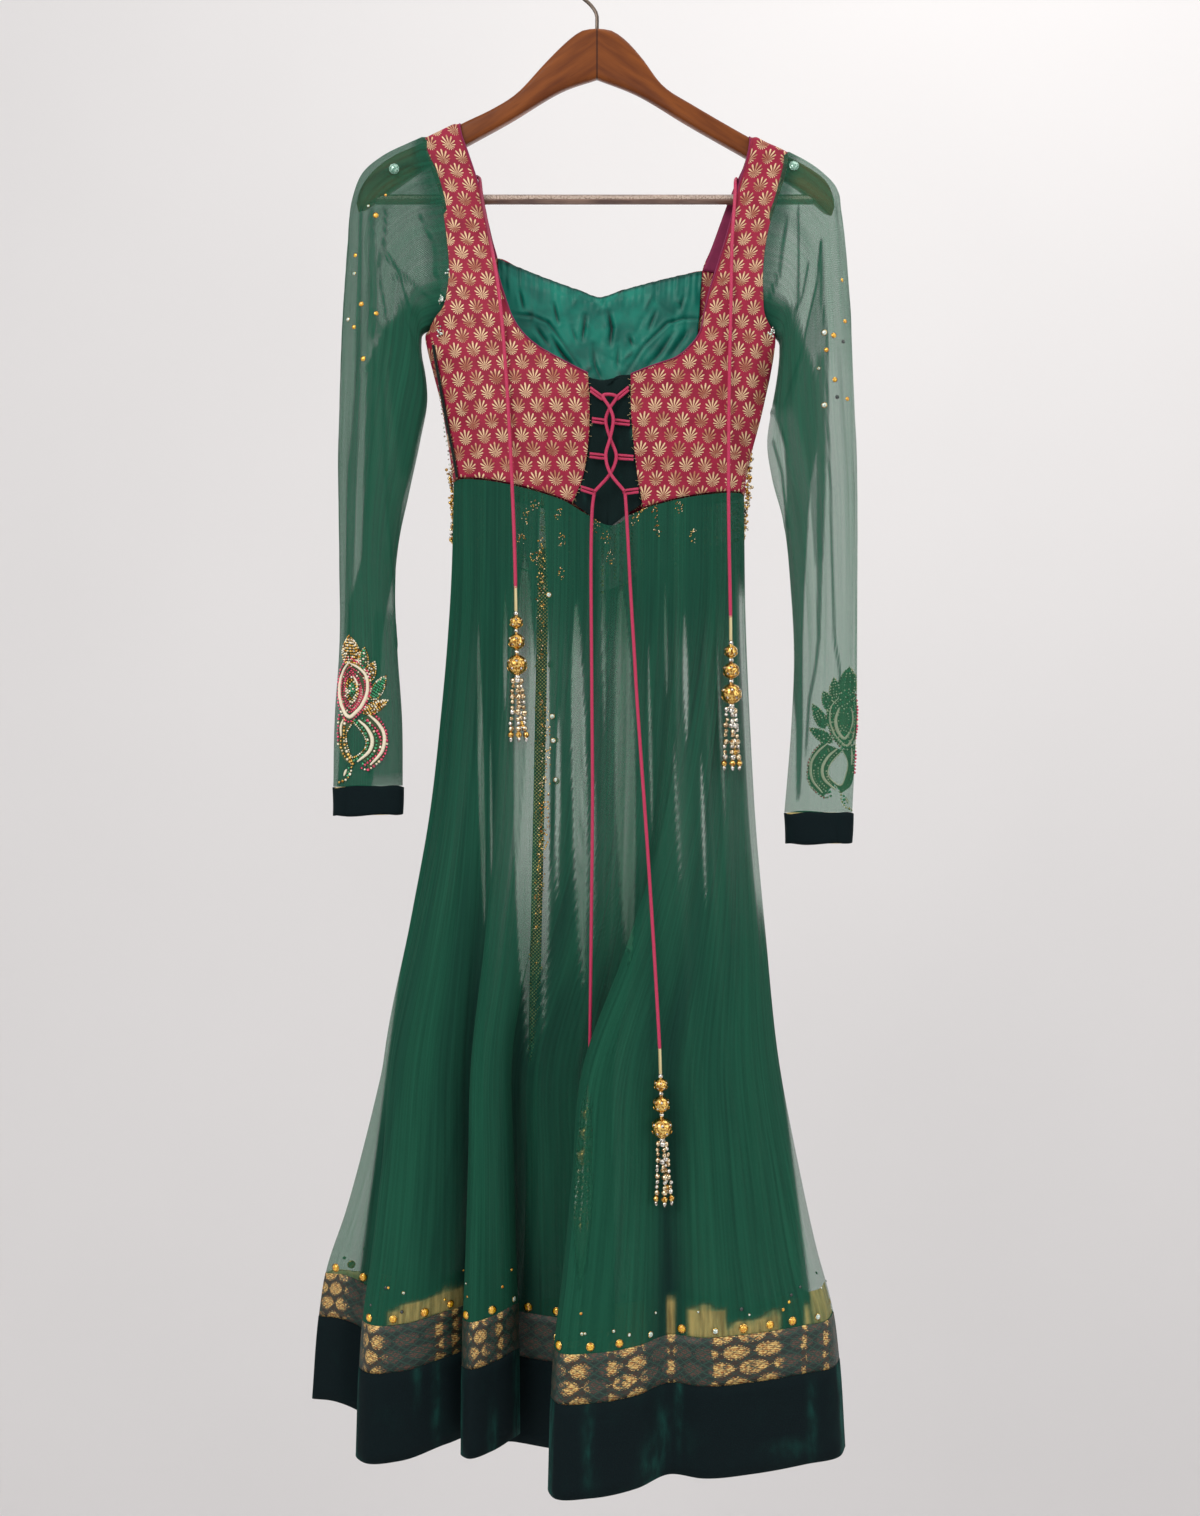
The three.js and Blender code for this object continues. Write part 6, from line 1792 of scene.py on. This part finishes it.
# %% Stones on the net above the hem
draw = default_rng(93)
for name, face in faces.items():
    stones, grid, out = Piece(), face["grid"], outward_of(face["grid"])
    line = grid[face["row"] >= 2][0]
    run = run_along(line[:, (0, 1)])
    at = 9 * MM
    while at < run[-1] - 6 * MM:
        k = int(np.searchsorted(run, at))
        row = int(np.searchsorted(grid[:, k, 2], line[k, 2] + draw.uniform(0, 5) * MM))
        pale = draw.uniform() < 0.22
        set_stone(stones, grid[row, k], out[row, k], 2.6 if pale else draw.uniform(3.3, 3.9), int(pale))
        for _ in range(draw.integers(0, 3)):
            row = int(np.searchsorted(grid[:, k, 2], line[k, 2] + draw.uniform(9, 34) * MM))
            other = min(max(k + int(draw.integers(-9, 9)), 0), len(line) - 1)
            set_stone(stones, grid[row, other], out[row, other], draw.uniform(0.9, 1.6),
                      int(draw.choice([0, 1, 2])))
        at += draw.uniform(19, 34) * MM
    if name == "back":                      # a few down the back, with their flat side inwards
        for x, z in ((-45, -592), (-41, -705), (-40, -727), (-39, -766), (-30, -830), (-44, -655)):
            place, away = spot_on("back", x, z, from_back=True)
            set_stone(stones, place, away, 3.0, 1)
            set_stone(stones, place, -away, 2.6, 1)
    else:
        for x, z in ((-44, -595), (-41, -706), (-40, -728), (-38, -764)):
            set_stone(stones, *spot_on("front", x, z), 2.2, 1)
    stones.make(f"hem_stones_{name}", STONES, slot="beadwork")

# %% The back's embroidered border, brocade strip and hem facing
BORDER_BEADS, SPRAY_REPEAT = 3.1, (27, 24)      # millimetres from bead to bead, and from spray to spray
grid = refined(wall_grid("back_border"), 9, 9)
out = outward_of(grid)
grid[-1] += np.array([0, -0.9, 3.4]) * MM       # both edges are turned in under their neighbours
grid[0] += np.array([0, -0.9, -3.4]) * MM
net = Piece().patch(grid, value=np.full(grid.shape[:2], 4.6)).make(
    "back_border_net", [NET], ["back_border"], "green_net")
border = Piece()
across, along = (laid_flat(grid)[..., k].mean(axis=k) / MM for k in (0, 1))
draw = default_rng(97)
for x in np.arange(2, across[-1] - 1, BORDER_BEADS):
    for z in np.arange(2, along[-1] - 1, BORDER_BEADS):
        cell_x, cell_z = (x % SPRAY_REPEAT[0]) - 13.5, (z % SPRAY_REPEAT[1]) - 12
        spray = abs(abs(cell_x) - 9 * sin(max(0, min(1, (cell_z + 12) / 24)) * pi)) < 1.7
        bloom = hypot(cell_x, cell_z - 2) < 3.6
        if not (spray or bloom or draw.uniform() < 0.03):
            continue
        i, j = (int(np.argmin(np.abs(places - at))) for places, at in ((along, z), (across, x)))
        kind = 1 if bloom and draw.uniform() < 0.4 else int(draw.choice([0, 2]))
        for away, least, most in ((out[i, j], 1.0, 1.6), (-out[i, j], 1.1, 1.7)):
            seed_bead(border, grid[i, j] + away * MM, away, draw.uniform(least, most), kind, 6, 0.8)
border = border.make("back_border_beads", [TISSUE, RED_SEED, GOLD_THREAD], slot="beadwork")
declare(net, grid)

grid = refined(wall_grid("back_strip"), 12, 6)
middle = grid.mean(axis=1, keepdims=True)
grid = middle + (grid - middle) * 2.1             # the brocade is wider than its stitched part
grid = np.concatenate([grid] + [grid[-1:] + step for step in (
    (0, 0, 0.016), (0, 0.0004, 0.031), (0, -0.0006, 0.052), (0, -0.0009, 0.074))])
strip = Piece().patch(grid).make("back_brocade_strip", [DOTTED], ["back_strip"], "copper_brocade")
thicken(strip, 0.8 * MM)
dots, out = Piece(), outward_of(grid)
for _ in range(160):
    i, j = (draw.integers(0, size) for size in grid.shape[:2])
    for away in (out[i, j], -out[i, j]):
        spot = grid[i, j] + away * 0.7 * MM + draw.uniform(-1, 1, 3) * (0.9 * MM, 0, 4 * MM)
        seed_bead(dots, spot, away, draw.uniform(0.6, 1.2), int(draw.choice([0, 1, 1])), squash=0.7)
dots = dots.make("back_strip_sequins", [TISSUE, AMBER], slot="beadwork")
declare(strip, grid)

grid = refined(wall_grid("hem_facing_back"), 8, 16)
sewn("hem_tissue_facing", "hem_facing_back", pushed(grid, soft_creases(grid, 98, 160, 1.2 * MM, 5 * MM, 0.2)),
     TISSUE, "gold_tissue", ["brocade_band_back"], 0.4 * MM)

# %% Small gold sprays worked on the net below the waist
SPRAYS = [(53, -519), (55, -535), (35, -526), (38, -513), (8, -543), (-1, -532), (-32, -574), (-65, -523),
          (-69, -543), (-57, -512), (-35, -520), (-33, -545), (12, -560), (75, -515), (88, -540), (-57, -560)]
# The brocade strip's gold flecks catch the light through the net: (x, z, half width) down its length.
FLECKED = np.array([(-52, -540, 3), (-52, -562, 4.5), (-51.5, -658, 2.4), (-46.6, -718, 4.2), (-48, -795, 5.2),
                    (-49, -824, 5.2), (-52, -847, 4.6), (-56, -903, 2.6), (-58, -950, 1.6)])
sprays = Piece()


def fleck(x, z, least, most, finishes):
    place, away = spot_on("front", x, z)
    seed_bead(sprays, place + away * 0.2 * MM, away, draw.uniform(least, most), int(draw.choice(finishes)))


for x, z in SPRAYS:
    for _ in range(15):
        turn, reach = draw.uniform(0, 2 * pi), draw.uniform(0.3, 1)
        fleck(x + 4.2 * reach * cos(turn), z + 7.5 * reach * sin(turn), 0.5, 0.9, [0, 1])
for _ in range(460):
    z = draw.uniform(-950, -540)
    x, half = (np.interp(-z, -FLECKED[:, 1], FLECKED[:, k]) for k in (0, 2))
    x += draw.uniform(-half, half)
    if draw.uniform() <= (half / 5.2)**2.5:
        fleck(x, z, 0.7, 1.25, [0, 0, 1])
sprays.make("waist_sprays", [GOLD, PALE_GOLD], slot="beadwork")

# %% Bead trims at the sides of the waist and the armholes
trims = Piece()


def loose_bead(place, spread, least, most, finishes, size=1):
    """A bead of a random size, scattered by `spread` millimetres."""
    place = place + draw.normal(0, 1, 3) * spread * MM
    bead(trims, place, size * draw.uniform(least, most) * MM, int(draw.choice(finishes)), 7, steps=5)


for points in ([(-136, 2, -474), (-134, 3, -500), (-133, 4, -520), (-134, 4, -540)],
               [(141, 2, -452), (141, 3, -485), (139, 4, -505), (136, 5, -535)]):
    aside = np.array([1.6 if points[0][0] > 0 else -1.6, 0, 0]) * MM
    for spot in smooth_route(np.array(points) * MM, 2.4 * MM):
        for _ in range(4):
            loose_bead(spot + aside, np.full(3, 1.5), 0.8, 1.5, [0, 0, 1, 3], 1.2)
for cx, cy, cz, count in ((-132, -2, -520, 7), (135, -2, -520, 9), (-143, -24, -322, 12), (-146, -22, -352, 10),
                          (160, -22, -352, 10), (-138, -24, -300, 5)):
    for _ in range(count):
        loose_bead(np.array((cx, cy, cz)) * MM, np.array((1.8, 0.6, 3.2)), 0.8, 1.3, [1, 2, 2])
for z in np.arange(-352, -480, -4.2):
    share = (z + 352) / (-480 + 352)
    loose_bead(np.array((-153.5 + 17 * share, -7, z)) * MM, np.full(3, 0.5), 0.8, 1.2, [1, 2])
trims.make("side_bead_trims", [GOLD, SILVER, CLEAR, PALE_GOLD], slot="beadwork")

# %% [markdown]
# ## The hanger
# The hanger is varnished hardwood, glued at a mitre under the hook, with a dark lacquered bar. The
# frame's bar and hook only get finishes. The arms are drawn again on the frame's lines, with smoother
# outlines. Wood grain is noise stretched far along the arm and squeezed across it.

# %% Wood, lacquer and steel
ARM_SLOPE = math.radians(33)


def varnished_wood():
    finish = Finish("varnished_wood", Roughness=0.34, Specular_IOR_Level=0.15, Coat_Weight=0.12,
                    Coat_Roughness=0.12)
    x, y, z = finish.spot()
    out = x.math("ABSOLUTE")
    along = out * cos(ARM_SLOPE) - z * sin(ARM_SLOPE)
    across = out * sin(ARM_SLOPE) + z * cos(ARM_SLOPE) + y * 0.8
    rings = finish.noise(9, stretch=7, detail=3, x=across, y=along)
    pores = finish.noise(0.8, stretch=26, detail=2, x=across, y=along, shift=3.0)
    wood = finish.blend(rings.above(0.2, 0.8), dye(94, 44, 14), dye(134, 72, 26))
    wood = finish.blend(pores.above(0.55, 0.8) * 0.35, wood, dye(70, 30, 10))
    glue = out.below(0.3, 1.3)
    finish.set(Base_Color=finish.blend(glue * 0.8, wood, dye(48, 22, 12)), Roughness=0.3 + pores * 0.2)
    return finish.relief(pores * 0.6 + rings * 0.4, 0.12, 0.6)


def lacquer():
    finish = Finish("dark_lacquer", Roughness=0.25, Specular_IOR_Level=0.5, Coat_Weight=0.6, Coat_Roughness=0.1)
    x, y, z = finish.spot()
    streaks = finish.noise(1.4, stretch=30, detail=2, x=z + y, y=x)
    # Painted highlight: a pale band along the middle of the bar, broken into specks as on worn lacquer.
    bright_patches = finish.noise(1.5, stretch=0.8, x=x, y=z) * z.above(-223.5, -221.5) * z.below(-219.5, -217.5)
    bar = finish.blend(streaks.above(0.3, 0.7), dye(84, 56, 46), dye(138, 108, 92))
    finish.set(Base_Color=finish.blend(bright_patches.above(0.3, 0.6) * 0.7, bar, dye(226, 206, 188)))
    return finish.relief(streaks, 0.08, 0.5)


def steel():
    finish = Finish("hook_steel", Metallic=1.0, Roughness=0.3)
    brushed = finish.solid_noise(0.7, stretch=(1, 1, 12), detail=2)
    finish.set(Base_Color=finish.blend(brushed, dye(66, 54, 48), dye(128, 116, 106)),
               Roughness=0.22 + brushed * 0.2)
    return finish.relief(brushed, 0.04, 0.5)


WOOD, BAR_LACQUER, HOOK_STEEL = varnished_wood(), lacquer(), steel()
nodes["hanger_bar"].data.materials[0] = BAR_LACQUER
nodes["hanger_hook"].data.materials[0] = HOOK_STEEL

# %% The arms, with their outlines drawn as smooth curves
ARM_THICK, ARM_POINTS = 12, 44
ARMS = {       # (x, z) along the top from the crown to the rounded end, and along the underside
    "left": ([(0, -62), (-14, -64), (-29, -75), (-49, -95), (-74, -122), (-97, -137), (-124, -150),
              (-164, -169.5), (-190, -181), (-209, -195), (-220, -210), (-225, -226), (-223.5, -232)],
             [(0, -108), (-35, -120.5), (-81, -148), (-120, -169.5), (-160, -191.5), (-190, -212),
              (-217, -230), (-223, -232.6)]),
    "right": ([(0, -62), (14, -64), (28, -74), (43, -91), (62, -116), (90, -134), (143, -164.5), (181, -183),
               (203, -195.5), (215, -206), (221, -220), (222, -230), (220, -235.4)],
              [(0, -108), (40, -124), (87, -152), (138, -181), (181, -206.5), (199, -221), (213, -233),
               (219, -236)]),
}

for side, outlines in ARMS.items():
    top, under = (evenly(smooth_route(np.array([(x, 0, z) for x, z in line], dtype=float), 1.0), ARM_POINTS)
                  for line in outlines)
    middle, half = (top + under) / 2, (top - under) / 2
    turn = np.linspace(0, 2 * pi, 36, endpoint=False)
    up, out = (np.sign(f(turn)) * np.abs(f(turn)) ** 0.42 for f in (np.cos, np.sin))
    slim = np.minimum(1, norm(half, axis=1) / 6)
    rings = (middle[:, None] + half[:, None] * up[None, :, None]
             + np.array([0, ARM_THICK / 2, 0]) * (out[None] * slim[:, None])[..., None])
    Piece().patch(rings * MM, ring=True).make(
        f"wooden_arm_{side}", [WOOD], [f"hanger_arm_{side}"], "hanger_wood")

# %% [markdown]
# ## Room and light
# A plain pale wall stands well behind, which leaves room to look at the back, over a pale floor. The
# light is soft: wide area lights, and a pale world that fills the shadows.

# %% Wall, floor and lights
WALL_BACK, WALL_HALF, FLOOR = 2.45, 6.0, -3.2


def stage_plane(name, corners, colour):
    mesh = bpy.data.meshes.new(name)
    mesh.from_pydata(corners, [], [(0, 1, 2, 3)])
    paint = Finish(name + "_paint", colour, Roughness=0.9, Specular_IOR_Level=0.1)
    shade = paint.solid_noise(900, detail=2)
    paint.set(Base_Color=paint.blend(shade, colour, tuple(0.94 * c for c in colour[:3]) + (1,)))
    mesh.materials.append(paint.done())
    put(name, mesh)


stage_plane("wall", [(-WALL_HALF, WALL_BACK, FLOOR), (WALL_HALF, WALL_BACK, FLOOR),
                     (WALL_HALF, WALL_BACK, 4), (-WALL_HALF, WALL_BACK, 4)], dye(232, 230, 230))
stage_plane("floor", [(-WALL_HALF, -WALL_HALF, FLOOR), (WALL_HALF, -WALL_HALF, FLOOR),
                      (WALL_HALF, WALL_BACK, FLOOR), (-WALL_HALF, WALL_BACK, FLOOR)], dye(226, 224, 224))

world = bpy.data.worlds.new("room")
world.use_nodes = True
sky = world.node_tree.nodes["Background"].inputs
sky["Color"].default_value, sky["Strength"].default_value = (0.93, 0.92, 0.92, 1), 0.75
bpy.context.scene.world = world


def area_light(name, place, target, size, power, colour=(1, 1, 1)):
    data = bpy.data.lights.new(name, "AREA")
    data.size, data.energy, data.color = size, power, colour
    lamp = put(name, data)
    lamp.location = place
    lamp.rotation_euler = (Vector(target) - Vector(place)).to_track_quat("-Z", "Y").to_euler()
    lamp.visible_camera = False


MIDDLE = (0, 0, -0.7)
area_light("key", (-1.4, -2.6, 1.0), MIDDLE, 1.6, 46, (1, 0.99, 0.97))
area_light("fill", (2.6, -1.8, -0.2), MIDDLE, 2.2, 14)
area_light("behind", (0.3, 2.2, -0.4), (0.3, 0, -0.4), 1.8, 16)
area_light("wall_wash", (1.2, 0.5, 2.2), (0.5, WALL_BACK, -1.0), 3.0, 42, (1, 0.99, 0.97))

scene = bpy.context.scene
scene.view_settings.view_transform = "Standard"
scene.cycles.transparent_max_bounces = 28
print(len(bpy.data.lights), "lights")

# %% Finish
print("scene built")
